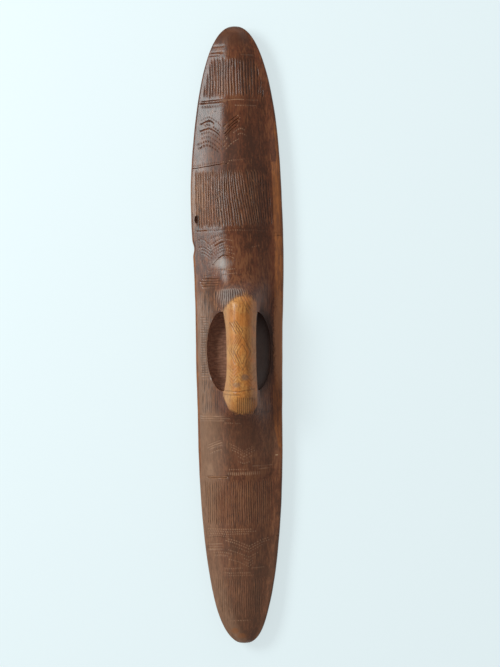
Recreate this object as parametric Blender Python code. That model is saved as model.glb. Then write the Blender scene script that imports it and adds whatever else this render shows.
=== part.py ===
"""A hardwood parrying shield, carved together with its grip from one piece of wood.

The shield lies on its front, with the grip and the carved back facing up. Its length runs
along Y with the upper end at +Y, its width along X and its depth along Z. The origin is on
the flat of the front, under the middle of the length. All sizes are in metres.
"""

import math
from dataclasses import dataclass

import bmesh
import bpy

# Outline
LENGTH = 0.740
UPPER_WIDTH = 0.1103
WAIST_WIDTH = 0.1043
LOWER_WIDTH = 0.1018
UPPER_TAPER = 0.228
LOWER_TAPER = 0.258
UPPER_FULLNESS = 2.3
LOWER_FULLNESS = 2.5

# Slight bends of the hewn blank: place and reach as shares of half the length, and the shift across
BENDS = ((0.48, 0.14, -0.0008), (0.17, 0.16, 0.0012), (-1.00, 0.06, 0.0014))

# Depth of the board
FRONT_RISE = 0.010
FRONT_RISE_POWER = 1.5
FRONT_FLAT = 0.036
FRONT_FLAT_SHARE = 0.4
EDGE_THICKNESS = 0.0075
TIP_THICKNESS = 0.0055
EDGE_ROUND = 0.003
BODY_DEPTH = 0.036
DOME_POWER = 2.0
DOME_FLARE = 1.5
DOME_FALL = 0.30
SHOULDER = 0.30
SHOULDER_ROUND = 0.15
RIGHT_FLANGE = 0.009
TIP_LIFT = 0.008
TIP_LIFT_REACH = 0.110

# Grip and the hollow under it
GRIP_CENTRE = -0.0195
GRIP_SHIFT = 0.003
GRIP_DEPTH = 0.064
GRIP_WIDTH = 0.0355
GRIP_END_WIDTH = 0.0450
GRIP_THICKNESS = 0.020
GRIP_ROUND = 0.0055
GRIP_FILLET = 0.005
GRIP_FLARE_POWER = 4
HOLLOW_LENGTH = 0.094
HOLLOW_LOBE = 0.0185
RIM_WIDTH = 0.0135
RIM_HEIGHT = 0.0185
FLOOR_THICKNESS = 0.009
RIDGE_HALF_WIDTH = 0.023
RIDGE_RAMP = 0.026
RIDGE_RAMP_POWER = 3.0
RIDGE_SPREAD = 0.6
RIDGE_POWER = 3.0

# Carved bands
LEFT_MARGIN = 0.005
RIGHT_MARGIN = 0.010
GRIP_BORDER = 0.0295
FLUTE_PITCH = 0.0034
FLUTE_DEPTH = 0.0008
GRIP_FLUTE_DEPTH = 0.0005
LINE_WIDTH = 0.0020
LINE_DEPTH = 0.0009
ZIGZAG_HALF_PERIOD = 0.0225
ZIGZAG_HEIGHT_SHARE = 0.33
ZIGZAG_SPACING_SHARE = 0.13

# A knot that has fallen out beside the left edge
KNOT_FROM_EDGE = 0.0063
KNOT_FROM_MIDDLE = 0.1385
KNOT_WIDTH = 0.0046
KNOT_LENGTH = 0.0100
KNOT_DEPTH = 0.0055
KNOT_TAPER = 0.5

# Fineness of the facets
TIP_ROWS = 6
PLAIN_COLUMNS = 14
COLUMNS_PER_SLOPE = 3
FLUTE_ROW_STEP = 0.017
GRIP_ROW_STEP = 0.0085
FRONT_ROW_STEP = 0.060
HEEL_INSET = 0.0003
HOLLOW_SIDES = 36
UNDERSIDE_SIDES = 8
GRIP_STATIONS = 8
KNOT_SIDES = 8
SMOOTH_ANGLE = math.radians(35)
CUT_CLEARANCE = 0.010

# The bowl of the hollow from its floor to its rim: shares of its plan and of its height
BOWL = ((0.45, 0.0), (0.70, 0.12), (0.86, 0.38), (0.95, 0.68), (1.0, 1.0))

WOOD_COLOUR = (0.115, 0.048, 0.026, 1.0)
WOOD_ROUGHNESS = 0.42


@dataclass(frozen=True)
class Band:
    """One carved stretch of the back, whose length is weighed against the rest of its half."""

    kind: str
    length: float
    grooves: int = 0
    peak: float = 0.0


UPPER_BANDS = (
    Band("tip", 0.0225),
    Band("lines", 0.0140, grooves=3),
    Band("flutes", 0.0500),
    Band("lines", 0.0095, grooves=2),
    Band("zigzag", 0.0620, grooves=3, peak=-0.0355),
    Band("lines", 0.0100, grooves=2),
    Band("flutes", 0.0760),
    Band("lines", 0.0040, grooves=1),
    Band("zigzag", 0.0520, grooves=3, peak=-0.0180),
    Band("lines", 0.0130, grooves=3),
)
LOWER_BANDS = (
    Band("tip", 0.0315),
    Band("lines", 0.0050, grooves=1),
    Band("flutes", 0.0425),
    Band("lines", 0.0050, grooves=1),
    Band("zigzag", 0.0440, grooves=3, peak=-0.0250),
    Band("lines", 0.0100, grooves=2),
    Band("flutes", 0.0605),
    Band("lines", 0.0060, grooves=1),
    Band("zigzag", 0.0590, grooves=3, peak=-0.0200),
    Band("lines", 0.0105, grooves=3),
)


def smooth_step(share):
    """Runs from 0 to 1 with level ends."""
    share = min(1.0, max(0.0, share))
    return share * share * (3.0 - 2.0 * share)


def blend(low, high, share):
    """The value that lies a share of the way from low to high."""
    return low + (high - low) * share


def body_width(y):
    """Width of the board before its ends taper."""
    upper_end = LENGTH / 2 - UPPER_TAPER
    lower_end = LOWER_TAPER - LENGTH / 2
    if y > GRIP_CENTRE:
        return blend(WAIST_WIDTH, UPPER_WIDTH, smooth_step((y - GRIP_CENTRE) / (upper_end - GRIP_CENTRE)))
    return blend(WAIST_WIDTH, LOWER_WIDTH, smooth_step((GRIP_CENTRE - y) / (GRIP_CENTRE - lower_end)))


def end_share(from_tip, taper, fullness):
    """Share of the full width that is left at a distance from a tip."""
    inward = min(1.0, max(0.0, from_tip / taper))
    return (1.0 - (1.0 - inward) ** 2) ** (1.0 / fullness)


def fullness(y):
    """Share of the board's width that its tapering ends leave."""
    upper = end_share(LENGTH / 2 - y, UPPER_TAPER, UPPER_FULLNESS)
    lower = end_share(LENGTH / 2 + y, LOWER_TAPER, LOWER_FULLNESS)
    return upper * lower


def half_width(y):
    """Half of the outline's width at a place along the shield."""
    return body_width(y) / 2 * fullness(y)


def centre_line(y):
    """Where the middle of the outline lies across, with the blank's slight bends."""
    along = y / (LENGTH / 2)
    return sum(shift * math.exp(-(((along - place) / reach) ** 2)) for place, reach, shift in BENDS)


def inner_half_width(y):
    """Half width between the rounded edges."""
    return half_width(y) * (1.0 - EDGE_ROUND / (UPPER_WIDTH / 2))


def tip_lift(y):
    """How far the front sweeps up towards the tips."""
    from_tip = LENGTH / 2 - abs(y)
    return TIP_LIFT * (1.0 - smooth_step(from_tip / TIP_LIFT_REACH))


def edge_thickness(y):
    """Thickness of the board's edge, thinner at the tips."""
    return blend(TIP_THICKNESS, EDGE_THICKNESS, smooth_step((LENGTH / 2 - abs(y)) / TIP_LIFT_REACH))


def edge_bottom(y):
    """Height of the lower shoulder of the edge."""
    return tip_lift(y) + FRONT_RISE * fullness(y)


def dome_rise(y):
    """How far the back rises from its edge to the centre line."""
    full_rise = BODY_DEPTH - FRONT_RISE - EDGE_THICKNESS
    along = abs(y) / (LENGTH / 2)
    return full_rise * fullness(y) * (1.0 - DOME_FALL * along**2)


def dome_share(share):
    """Share of the back's rise at a share of the inner half width.

    The left flank is a flat facet up to a rounded shoulder. The right flank curves down to a level margin.
    """
    if share > 0.0:
        reach = 1.0 - RIGHT_FLANGE / (UPPER_WIDTH / 2)
        return max(0.0, 1.0 - (share / reach) ** DOME_POWER) ** DOME_FLARE
    away = min(1.0, -share)
    start = SHOULDER - SHOULDER_ROUND
    if away < start:
        return 1.0
    if away < SHOULDER + SHOULDER_ROUND:
        return 1.0 - (away - start) ** 2 / (4.0 * SHOULDER_ROUND) / (1.0 - SHOULDER)
    return 1.0 - (away - SHOULDER) / (1.0 - SHOULDER)


def ridge_along(y):
    """The grip ridge's height along the shield: level over the hollow, then sweeping down."""
    beyond = max(0.0, abs(y - GRIP_CENTRE) - HOLLOW_LENGTH / 2)
    return 1.0 / (1.0 + (beyond / RIDGE_RAMP) ** RIDGE_RAMP_POWER)


def ridge_rise(from_centre, y):
    """The grip ridge's height above the board, which broadens as it sweeps down."""
    along = ridge_along(y)
    spread = RIDGE_HALF_WIDTH * (1.0 + RIDGE_SPREAD * (1.0 - along))
    across = abs(from_centre - GRIP_SHIFT) / spread
    return (GRIP_DEPTH - BODY_DEPTH) * along * math.exp(-(across**RIDGE_POWER))


def back_height(share, y):
    """Height of the uncarved back at a share of the inner half width."""
    board = edge_bottom(y) + edge_thickness(y) + dome_rise(y) * dome_share(share)
    return board + ridge_rise(share * inner_half_width(y), y)


def front_height(share, flat_share, y):
    """Height of the front, level over its flat and rising towards the edges."""
    rise = max(0.0, (abs(share) - flat_share) / (1.0 - flat_share))
    return tip_lift(y) + FRONT_RISE * fullness(y) * rise**FRONT_RISE_POWER


def hollow_width():
    """Width of the scoop, which leaves the rim standing at both edges."""
    return 2.0 * (half_width(GRIP_CENTRE) - RIM_WIDTH)


def carved_span(y):
    """The shares of the inner half width between which the back is carved."""
    width = inner_half_width(y)
    return -1.0 + LEFT_MARGIN / width, 1.0 - RIGHT_MARGIN / width


def back_row(mesh, y, columns, bend=None, sunk=None):
    """One row of points across the back, from the left edge to the right edge.

    columns are shares of the inner half width, bend moves a point along the shield and sunk
    gives how deep it is cut.
    """
    rim_height = edge_bottom(y) + edge_thickness(y) / 2
    left = mesh.verts.new((centre_line(y) - half_width(y), y, rim_height))
    right = mesh.verts.new((centre_line(y) + half_width(y), y, rim_height))
    points = [(-2.0, left)]
    for number, share in enumerate(columns):
        place = y + (bend(share) if bend else 0.0)
        depth = sunk(number, share) if sunk else 0.0
        x = centre_line(place) + share * inner_half_width(place)
        points.append((share, mesh.verts.new((x, place, back_height(share, place) - depth))))
    points.append((2.0, right))
    return points


def zip_rows(mesh, one, other):
    """Closes the strip between two rows of points, each sorted by its first value."""
    i = j = 0
    while i < len(one) - 1 or j < len(other) - 1:
        if j == len(other) - 1:
            take_one = True
        elif i == len(one) - 1:
            take_one = False
        else:
            take_one = one[i][0] + one[i + 1][0] <= other[j][0] + other[j + 1][0]
        corner = one[i + 1][1] if take_one else other[j + 1][1]
        mesh.faces.new((one[i][1], other[j][1], corner))
        if take_one:
            i += 1
        else:
            j += 1


def fan(mesh, apex, row):
    """Closes a row of points to a single point."""
    for (_, first), (_, second) in zip(row, row[1:]):
        mesh.faces.new((apex, first, second))


def plain_columns():
    """Columns of an uncarved row, closer together towards the edges."""
    return [math.sin(math.pi * (k / PLAIN_COLUMNS - 0.5)) for k in range(PLAIN_COLUMNS + 1)]


def tip_rows(mesh, start, end):
    """Rows that round off a tip, closer together near it."""
    steps = [(k / TIP_ROWS) ** 2 for k in range(1, TIP_ROWS + 1)]
    return [back_row(mesh, blend(start, end, step), plain_columns()) for step in steps]


def groove_rows(mesh, centre, inward, columns, bend=None):
    """The three rows of one cut line: its near lip, its bottom and its far lip."""
    rows = []
    for offset, depth in ((-LINE_WIDTH / 2, 0.0), (0.0, LINE_DEPTH), (LINE_WIDTH / 2, 0.0)):
        def sunk(number, share, depth=depth):
            return depth if 0 < number < len(columns) - 1 else 0.0

        rows.append(back_row(mesh, centre + inward * offset, columns, bend, sunk))
    return rows


def line_rows(mesh, start, end, band):
    """Straight lines cut across the back, evenly spaced over their band."""
    inward = math.copysign(1.0, end - start)
    places = [blend(start, end, (k + 0.5) / band.grooves) for k in range(band.grooves)]
    return [row for place in places for row in groove_rows(mesh, place, inward, plain_columns())]


def zigzag_rows(mesh, start, end, band):
    """Zigzag lines side by side in the middle of their band."""
    inward = math.copysign(1.0, end - start)
    middle = (start + end) / 2
    width = inner_half_width(middle)
    first, last = carved_span(middle)
    step = ZIGZAG_HALF_PERIOD / COLUMNS_PER_SLOPE
    low = math.ceil((first * width - band.peak) / step)
    high = math.floor((last * width - band.peak) / step)
    inner = [(band.peak + k * step) / width for k in range(low, high + 1)]
    columns = [-1.0, first, *inner, last, 1.0]

    def bend(share):
        if abs(share) == 1.0:
            return 0.0
        periods = (share * width - band.peak) / (2.0 * ZIGZAG_HALF_PERIOD)
        away = abs(periods - round(periods)) * 2.0
        return abs(end - start) * ZIGZAG_HEIGHT_SHARE * (0.5 - away)

    rows = []
    for k in range(band.grooves):
        offset = (k - (band.grooves - 1) / 2) * abs(end - start) * ZIGZAG_SPACING_SHARE
        rows += groove_rows(mesh, middle + inward * offset, inward, columns, bend)
    return rows


def flute_rows(mesh, start, end, row_step, depth_at):
    """Flutes cut along the back, side by side across its carved width."""
    middle = (start + end) / 2
    first, last = carved_span(middle)
    count = round((last - first) * inner_half_width(middle) / FLUTE_PITCH)
    flutes = [blend(first, last, k / (2 * count)) for k in range(2 * count + 1)]
    columns = [-1.0, *flutes, 1.0]
    steps = max(1, math.ceil(abs(end - start) / row_step))
    rows = []
    for step in range(steps + 1):
        y = blend(start, end, step / steps)

        def sunk(number, share, y=y):
            return depth_at(share, y) if 0 < number < len(columns) - 1 and number % 2 == 0 else 0.0

        rows.append(back_row(mesh, y, columns, sunk=sunk))
    return rows


def full_flute(share, y):
    """Depth of a flute away from the grip."""
    return FLUTE_DEPTH


def flute_beside_grip(share, y):
    """Depth of a flute around the hollow, which fades out on top of the grip."""
    along = smooth_step((abs(y - GRIP_CENTRE) - HOLLOW_LENGTH / 2 + LINE_WIDTH) / RIDGE_RAMP)
    across = smooth_step(abs(share) * inner_half_width(y) / (hollow_width() / 2) - 1.0)
    return GRIP_FLUTE_DEPTH * max(along, across)


def band_rows(mesh, bands, side):
    """Every row of one half of the back, from its tip towards the grip, and where they end."""
    y = side * LENGTH / 2
    stretch = abs(y - GRIP_CENTRE) - HOLLOW_LENGTH / 2 - GRIP_BORDER
    fit = stretch / sum(band.length for band in bands)
    rows = []
    for band in bands:
        end = y - side * band.length * fit
        if band.kind == "tip":
            rows += tip_rows(mesh, y, end)
        elif band.kind == "lines":
            rows += line_rows(mesh, y, end, band)
        elif band.kind == "zigzag":
            rows += zigzag_rows(mesh, y, end, band)
        else:
            rows += flute_rows(mesh, y, end, FLUTE_ROW_STEP, full_flute)
        y = end
    return rows, y


def front_row(mesh, y):
    """One row of points across the front, from the left edge to the right edge."""
    flat_share = min(FRONT_FLAT_SHARE, FRONT_FLAT / 2 / inner_half_width(y))
    middle_share = (1.0 + flat_share) / 2
    shares = (-1.0, -middle_share, -flat_share, flat_share, middle_share, 1.0)
    places = [centre_line(y) + share * inner_half_width(y) for share in shares]
    heights = [front_height(share, flat_share, y) for share in shares]
    return [(share, mesh.verts.new((x, y, z))) for share, x, z in zip(shares, places, heights)]


def front_stations():
    """Places of the front's rows along the shield, closer together near the tips."""
    near_tips = [TIP_LIFT_REACH * (k / TIP_ROWS) ** 2 for k in range(1, TIP_ROWS + 1)]
    straight = LENGTH - 2 * TIP_LIFT_REACH
    steps = max(1, round(straight / FRONT_ROW_STEP))
    between = [LENGTH / 2 - TIP_LIFT_REACH - straight * k / steps for k in range(1, steps)]
    upper = [LENGTH / 2 - place for place in near_tips]
    lower = [place - LENGTH / 2 for place in reversed(near_tips)]
    return upper + between + lower


def blank_mesh():
    """The whole carved board as one closed mesh, with the ridge for the grip still solid."""
    mesh = bmesh.new()
    upper_rows, upper_end = band_rows(mesh, UPPER_BANDS, 1.0)
    lower_rows, lower_end = band_rows(mesh, LOWER_BANDS, -1.0)
    grip_rows = flute_rows(mesh, upper_end, lower_end, GRIP_ROW_STEP, flute_beside_grip)
    back = upper_rows + grip_rows + lower_rows[::-1]
    front = [front_row(mesh, y) for y in front_stations()]
    for rows in (back, front):
        for one, other in zip(rows, rows[1:]):
            zip_rows(mesh, one, other)

    tips, heels = [], []
    for y, first_back, first_front in ((LENGTH / 2, back[0], front[0]), (-LENGTH / 2, back[-1], front[-1])):
        tip = mesh.verts.new((centre_line(y), y, edge_bottom(y) + edge_thickness(y) / 2))
        heel_place = math.copysign(abs(y) - HEEL_INSET, y)
        heel = mesh.verts.new((centre_line(y), heel_place, edge_bottom(y)))
        fan(mesh, tip, first_back)
        fan(mesh, heel, first_front)
        tips.append((-y, tip))
        heels.append((-y, heel))

    for side in (0, -1):
        rim = [tips[0], *((-row[side][1].co.y, row[side][1]) for row in back), tips[1]]
        heel_line = [heels[0], *((-row[side][1].co.y, row[side][1]) for row in front), heels[1]]
        zip_rows(mesh, rim, heel_line)
    bmesh.ops.recalc_face_normals(mesh, faces=mesh.faces)
    return mesh


def stacked_mesh(rings):
    """A closed mesh through rings of points that have as many points each, capped at both ends."""
    mesh = bmesh.new()
    loops = [[mesh.verts.new(point) for point in ring] for ring in rings]
    for one, other in zip(loops, loops[1:]):
        for k, vertex in enumerate(one):
            after = (k + 1) % len(one)
            mesh.faces.new((vertex, one[after], other[after], other[k]))
    mesh.faces.new(loops[0])
    mesh.faces.new(loops[-1])
    bmesh.ops.recalc_face_normals(mesh, faces=mesh.faces)
    return mesh


def hollow_outline():
    """Plan of the scoop about its middle: a half oval at each side and straight ends between."""
    points = []
    for k in range(HOLLOW_SIDES):
        angle = 2.0 * math.pi * (k + 0.5) / HOLLOW_SIDES
        lobe_start = math.copysign(hollow_width() / 2 - HOLLOW_LOBE, math.cos(angle))
        points.append((lobe_start + HOLLOW_LOBE * math.cos(angle), HOLLOW_LENGTH / 2 * math.sin(angle)))
    return points


def hollow_mesh():
    """The scoop under the grip: a bowl that runs straight up above its rim."""
    bowl = [(reach, blend(FLOOR_THICKNESS, RIM_HEIGHT, rise)) for reach, rise in BOWL]
    bowl.append((1.0, GRIP_DEPTH + CUT_CLEARANCE))
    middle = centre_line(GRIP_CENTRE)
    rings = []
    for reach, height in bowl:
        rings.append([(middle + x * reach, GRIP_CENTRE + y * reach, height) for x, y in hollow_outline()])
    return stacked_mesh(rings)


def grip_section(along):
    """Outline across the grip at a share of half the hollow's length from its middle."""
    flare = along**GRIP_FLARE_POWER
    half = blend(GRIP_WIDTH, GRIP_END_WIDTH, flare) / 2
    shoulder = GRIP_DEPTH - GRIP_THICKNESS + GRIP_ROUND
    underside = GRIP_DEPTH - GRIP_THICKNESS - GRIP_FILLET * flare
    above = GRIP_DEPTH + 2.0 * CUT_CLEARANCE
    points = [(half, above), (-half, above)]
    for k in range(UNDERSIDE_SIDES + 1):
        angle = math.pi * k / UNDERSIDE_SIDES
        points.append((-half * math.cos(angle), shoulder - (shoulder - underside) * math.sin(angle)))
    return points


def grip_mesh():
    """The bar of wood that is left standing across the hollow."""
    reach = 1.0 + CUT_CLEARANCE / HOLLOW_LENGTH
    middle = centre_line(GRIP_CENTRE) + GRIP_SHIFT
    rings = []
    for k in range(GRIP_STATIONS + 1):
        along = -reach * math.cos(math.pi * k / GRIP_STATIONS)
        y = GRIP_CENTRE + along * HOLLOW_LENGTH / 2
        rings.append([(middle + x, y, z) for x, z in grip_section(along)])
    return stacked_mesh(rings)


def knot_mesh():
    """The pit of a lost knot, narrowing as it goes down."""
    y = KNOT_FROM_MIDDLE
    across = KNOT_FROM_EDGE - half_width(y)
    x = centre_line(y) + across
    surface = back_height(across / inner_half_width(y), y)
    rings = []
    levels = ((KNOT_TAPER, surface - KNOT_DEPTH), (1.0, surface), (1.0, surface + CUT_CLEARANCE))
    for reach, height in levels:
        angles = [2.0 * math.pi * k / KNOT_SIDES for k in range(KNOT_SIDES)]
        rings.append(
            [
                (
                    x + KNOT_WIDTH / 2 * reach * math.cos(angle),
                    y + KNOT_LENGTH / 2 * reach * math.sin(angle),
                    height,
                )
                for angle in angles
            ]
        )
    return stacked_mesh(rings)


def wood():
    """Oiled dark red-brown hardwood."""
    material = bpy.data.materials.new("carved_wood")
    material.use_nodes = True
    shader = material.node_tree.nodes["Principled BSDF"]
    shader.inputs["Base Color"].default_value = WOOD_COLOUR
    shader.inputs["Roughness"].default_value = WOOD_ROUGHNESS
    shader.inputs["Metallic"].default_value = 0.0
    return material


def add_object(name, mesh, material=None):
    """Puts a mesh in the scene as a named object."""
    data = bpy.data.meshes.new(name)
    mesh.to_mesh(data)
    mesh.free()
    data.shade_smooth()
    data.set_sharp_from_angle(angle=SMOOTH_ANGLE)
    made = bpy.data.objects.new(name, data)
    bpy.context.scene.collection.objects.link(made)
    if material:
        data.materials.append(material)
    return made


def add_cutter(name, mesh):
    """A shape that only cuts others and isn't part of the shield."""
    made = add_object(name, mesh)
    made.hide_render = True
    made.display_type = "WIRE"
    return made


def cut(target, cutter):
    """Takes the cutter's shape out of the target."""
    modifier = target.modifiers.new(cutter.name, "BOOLEAN")
    modifier.operation = "DIFFERENCE"
    modifier.solver = "EXACT"
    modifier.object = cutter


def main():
    """Builds the shield."""
    for existing in list(bpy.data.objects):
        bpy.data.objects.remove(existing, do_unlink=True)
    grip = add_cutter("grip_bar", grip_mesh())
    hollow = add_cutter("hollow", hollow_mesh())
    cut(hollow, grip)
    shield = add_object("shield", blank_mesh(), wood())
    cut(shield, hollow)
    cut(shield, add_cutter("knot_pit", knot_mesh()))


main()
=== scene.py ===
"""Looks of the hardwood parrying shield: its finely carved skin, its wood, and a pale studio.

The frame's solid gives the form. The same form is built here again with the fine carving that
the solid leaves out, in the same place, and lies on a plain floor under soft window light. Sizes
are in metres, but for the strands of carving and the grip's pattern, which are given in
millimetres. The shield's length runs along Y, its width along X, its depth along Z.
"""

import logging
import math
from collections.abc import Callable, Sequence
from dataclasses import dataclass, field
from enum import Enum

import bmesh
import bpy
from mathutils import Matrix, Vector, noise


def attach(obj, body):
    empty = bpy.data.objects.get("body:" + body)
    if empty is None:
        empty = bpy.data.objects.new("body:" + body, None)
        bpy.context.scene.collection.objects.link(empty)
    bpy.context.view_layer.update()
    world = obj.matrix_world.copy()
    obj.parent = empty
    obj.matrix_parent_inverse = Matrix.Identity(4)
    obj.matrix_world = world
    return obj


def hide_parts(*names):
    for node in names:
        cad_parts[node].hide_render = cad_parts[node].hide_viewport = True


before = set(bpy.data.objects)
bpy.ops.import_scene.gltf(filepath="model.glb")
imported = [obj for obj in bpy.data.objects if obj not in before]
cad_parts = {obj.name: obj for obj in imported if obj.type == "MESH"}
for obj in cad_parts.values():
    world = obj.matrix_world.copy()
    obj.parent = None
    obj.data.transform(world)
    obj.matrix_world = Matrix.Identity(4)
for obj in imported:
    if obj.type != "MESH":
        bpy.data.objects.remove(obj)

LOG = logging.getLogger("parrying_shield")
CUT_CLEARANCE = 0.010

Pair = tuple[float, float]
Triple = tuple[float, float, float]
Colour = Triple
Heights = tuple[float, ...]
Outline = list[Pair]
Ring = list[Triple]
Row = list[tuple[float, Vector]]
Keyed = Sequence[tuple[float, int]]

# Shares of the quarter turn at an edge, with sorting keys for the points, from outline to surface.
BACK_EDGE = [(0.0, 1.4), (0.33, 1.3), (0.67, 1.2)]
FRONT_EDGE = [(0.67, 1.1), (0.33, 1.2)]


def smooth_step(share: float) -> float:
    """Runs from 0 to 1 with level ends."""
    share = min(1.0, max(0.0, share))
    return share * share * (3.0 - 2.0 * share)


def blend(low: float, high: float, share: float) -> float:
    """The value that lies a share of the way from low to high."""
    return low + (high - low) * share


def bump(distance: float, reach: float) -> float:
    """A rounded hump: 1 at no distance, 0 from the reach on."""
    return smooth_step(1.0 - abs(distance) / reach)


def ripple(x: float, y: float, seed: float) -> float:
    """Smooth noise between about -1 and 1, one wave to a unit of x or y."""
    return noise.noise(Vector((x, y, seed)))


def chance(number: int, seed: float) -> float:
    """A fixed value between 0 and 1 for a whole number."""
    return 0.5 + 0.5 * math.sin(number * 12.9898 + seed * 78.233) * math.cos(number * 4.1414 + seed)


@dataclass(frozen=True)
class ShieldForm:
    """Sizes and smooth surfaces of the shield, the same as the solid's."""

    length: float = 0.740
    upper_width: float = 0.1103
    waist_width: float = 0.1043
    lower_width: float = 0.1018
    upper_taper: float = 0.228
    lower_taper: float = 0.258
    upper_fullness: float = 2.3
    lower_fullness: float = 2.5
    bends: tuple[Triple, ...] = ((0.48, 0.14, -0.0008), (0.17, 0.16, 0.0012), (-1.00, 0.06, 0.0014))
    front_rise: float = 0.010
    front_rise_power: float = 1.5
    front_flat: float = 0.036
    front_flat_share: float = 0.4
    full_edge: float = 0.0075
    tip_edge: float = 0.0055
    edge_round: float = 0.003
    body_depth: float = 0.036
    dome_power: float = 2.0
    dome_flare: float = 1.5
    dome_fall: float = 0.30
    shoulder: float = 0.30
    shoulder_round: float = 0.15
    right_flange: float = 0.009
    full_tip_lift: float = 0.008
    tip_lift_reach: float = 0.110
    grip_centre: float = -0.0195
    grip_shift: float = 0.003
    grip_depth: float = 0.064
    hollow_length: float = 0.094
    hollow_lobe: float = 0.0185
    rim_width: float = 0.0135
    ridge_half_width: float = 0.023
    ridge_ramp: float = 0.026
    ridge_ramp_power: float = 3.0
    ridge_spread: float = 0.6
    ridge_power: float = 3.0
    narrowest_reach: float = 0.97
    shoulder_sway: float = 0.018
    adze_waves: Pair = (0.00022, 0.00010)
    edge_waves: float = 0.00018
    dents: tuple[Triple, ...] = ((0.104, 0.0105, 0.0019), (-0.3655, 0.0035, 0.0012))
    left_roll: Pair = (0.0030, 0.0009)
    right_roll: Pair = (0.0060, 0.0020)
    unrolled_half_width: float = 0.0225

    def body_width(self, y: float) -> float:
        """Width of the board before its ends taper.

        Args:
            y: Place along the shield.

        Returns:
            The width there.
        """
        end, width = self.length / 2 - self.upper_taper, self.upper_width
        if y <= self.grip_centre:
            end, width = self.lower_taper - self.length / 2, self.lower_width
        share = (y - self.grip_centre) / (end - self.grip_centre)
        return blend(self.waist_width, width, smooth_step(share))

    def end_share(self, from_tip: float, taper: float, fullness: float) -> float:
        """Share of the full width that is left at a distance from a tip."""
        inward = min(1.0, max(0.0, from_tip / taper))
        return (1.0 - (1.0 - inward) ** 2) ** (1.0 / fullness)

    def fullness(self, y: float) -> float:
        """Share of the board's width that its tapering ends leave."""
        upper = self.end_share(self.length / 2 - y, self.upper_taper, self.upper_fullness)
        return upper * self.end_share(self.length / 2 + y, self.lower_taper, self.lower_fullness)

    def half_width(self, y: float) -> float:
        """Half of the outline's width at a place along the shield."""
        return self.body_width(y) / 2 * self.fullness(y)

    def centre_line(self, y: float) -> float:
        """Where the middle of the outline lies across, with the blank's slight bends."""
        along = y / (self.length / 2)
        return sum(shift * math.exp(-(((along - place) / reach) ** 2)) for place, reach, shift in self.bends)

    def inner_half_width(self, y: float) -> float:
        """Half width between the rounded edges."""
        return self.half_width(y) * (1.0 - self.edge_round / (self.upper_width / 2))

    def tip_lift(self, y: float) -> float:
        """How far the front sweeps up towards the tips."""
        from_tip = self.length / 2 - abs(y)
        return self.full_tip_lift * (1.0 - smooth_step(from_tip / self.tip_lift_reach))

    def edge_thickness(self, y: float) -> float:
        """Thickness of the board's edge, thinner at the tips."""
        share = smooth_step((self.length / 2 - abs(y)) / self.tip_lift_reach)
        return blend(self.tip_edge, self.full_edge, share)

    def edge_bottom(self, y: float) -> float:
        """Height of the lower shoulder of the edge."""
        return self.tip_lift(y) + self.front_rise * self.fullness(y)

    def edge_middle(self, y: float) -> float:
        """Height of the middle of the edge."""
        return self.edge_bottom(y) + self.edge_thickness(y) / 2

    def dome_share(self, share: float, y: float) -> float:
        """Share of the back's rise: a flat facet on the left, a curve down to a level margin on the right.

        Args:
            share: Place across as a share of the inner half width.
            y: Place along the shield.

        Returns:
            The share, from 0 at the edges to 1 along the middle.
        """
        if share > 0.0:
            reach = 1.0 - self.right_flange / (self.upper_width / 2)
            return max(0.0, 1.0 - (share / reach) ** self.dome_power) ** self.dome_flare
        away = min(1.0, -share)
        shoulder = self.shoulder + self.shoulder_sway * ripple(y / 0.030, 1.7, 8.3)
        start = shoulder - self.shoulder_round
        if away < start:
            return 1.0
        if away < shoulder + self.shoulder_round:
            return 1.0 - (away - start) ** 2 / (4.0 * self.shoulder_round) / (1.0 - shoulder)
        return 1.0 - (away - shoulder) / (1.0 - shoulder)

    def dome(self, share: float, y: float) -> float:
        """Height of the back above its edge, without the grip ridge."""
        full_rise = (self.body_depth - self.front_rise - self.full_edge) * self.fullness(y)
        return full_rise * (1.0 - self.dome_fall * (2.0 * y / self.length) ** 2) * self.dome_share(share, y)

    def ridge(self, from_centre: float, y: float) -> float:
        """Height of the grip ridge above the board, level over the hollow and then sweeping down.

        Args:
            from_centre: Place across, from the centre line.
            y: Place along the shield.

        Returns:
            The height there.
        """
        beyond = max(0.0, abs(y - self.grip_centre) - self.hollow_length / 2)
        along = 1.0 / (1.0 + (beyond / self.ridge_ramp) ** self.ridge_ramp_power)
        spread = self.ridge_half_width * (1.0 + self.ridge_spread * (1.0 - along))
        across = abs(from_centre - self.grip_shift) / spread
        return (self.grip_depth - self.body_depth) * along * math.exp(-(across**self.ridge_power))

    def hewn(self, x: float, y: float) -> float:
        """Slight waves that the adze has left in the surface."""
        broad, fine = self.adze_waves
        return broad * ripple(x / 0.019, y / 0.034, 3.1) + fine * ripple(x / 0.008, y / 0.017, 7.7)

    def back_height(self, share: float, y: float) -> float:
        """Height of the uncarved back.

        Args:
            share: Place across as a share of the inner half width.
            y: Place along the shield.

        Returns:
            The height there.
        """
        share = min(1.0, max(-1.0, share))
        from_centre = share * self.inner_half_width(y)
        board = self.edge_bottom(y) + self.edge_thickness(y) + self.dome(share, y)
        return board + self.ridge(from_centre, y) + self.hewn(from_centre, y)

    def front_height(self, share: float, y: float) -> float:
        """Height of the front, level over its flat and rising towards the edges.

        Args:
            share: Place across as a share of the inner half width.
            y: Place along the shield.

        Returns:
            The height there.
        """
        flat_share = min(self.front_flat_share, self.front_flat / 2 / self.inner_half_width(y))
        rise = max(0.0, (abs(share) - flat_share) / (1.0 - flat_share))
        return self.tip_lift(y) + self.front_rise * self.fullness(y) * rise**self.front_rise_power

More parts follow.
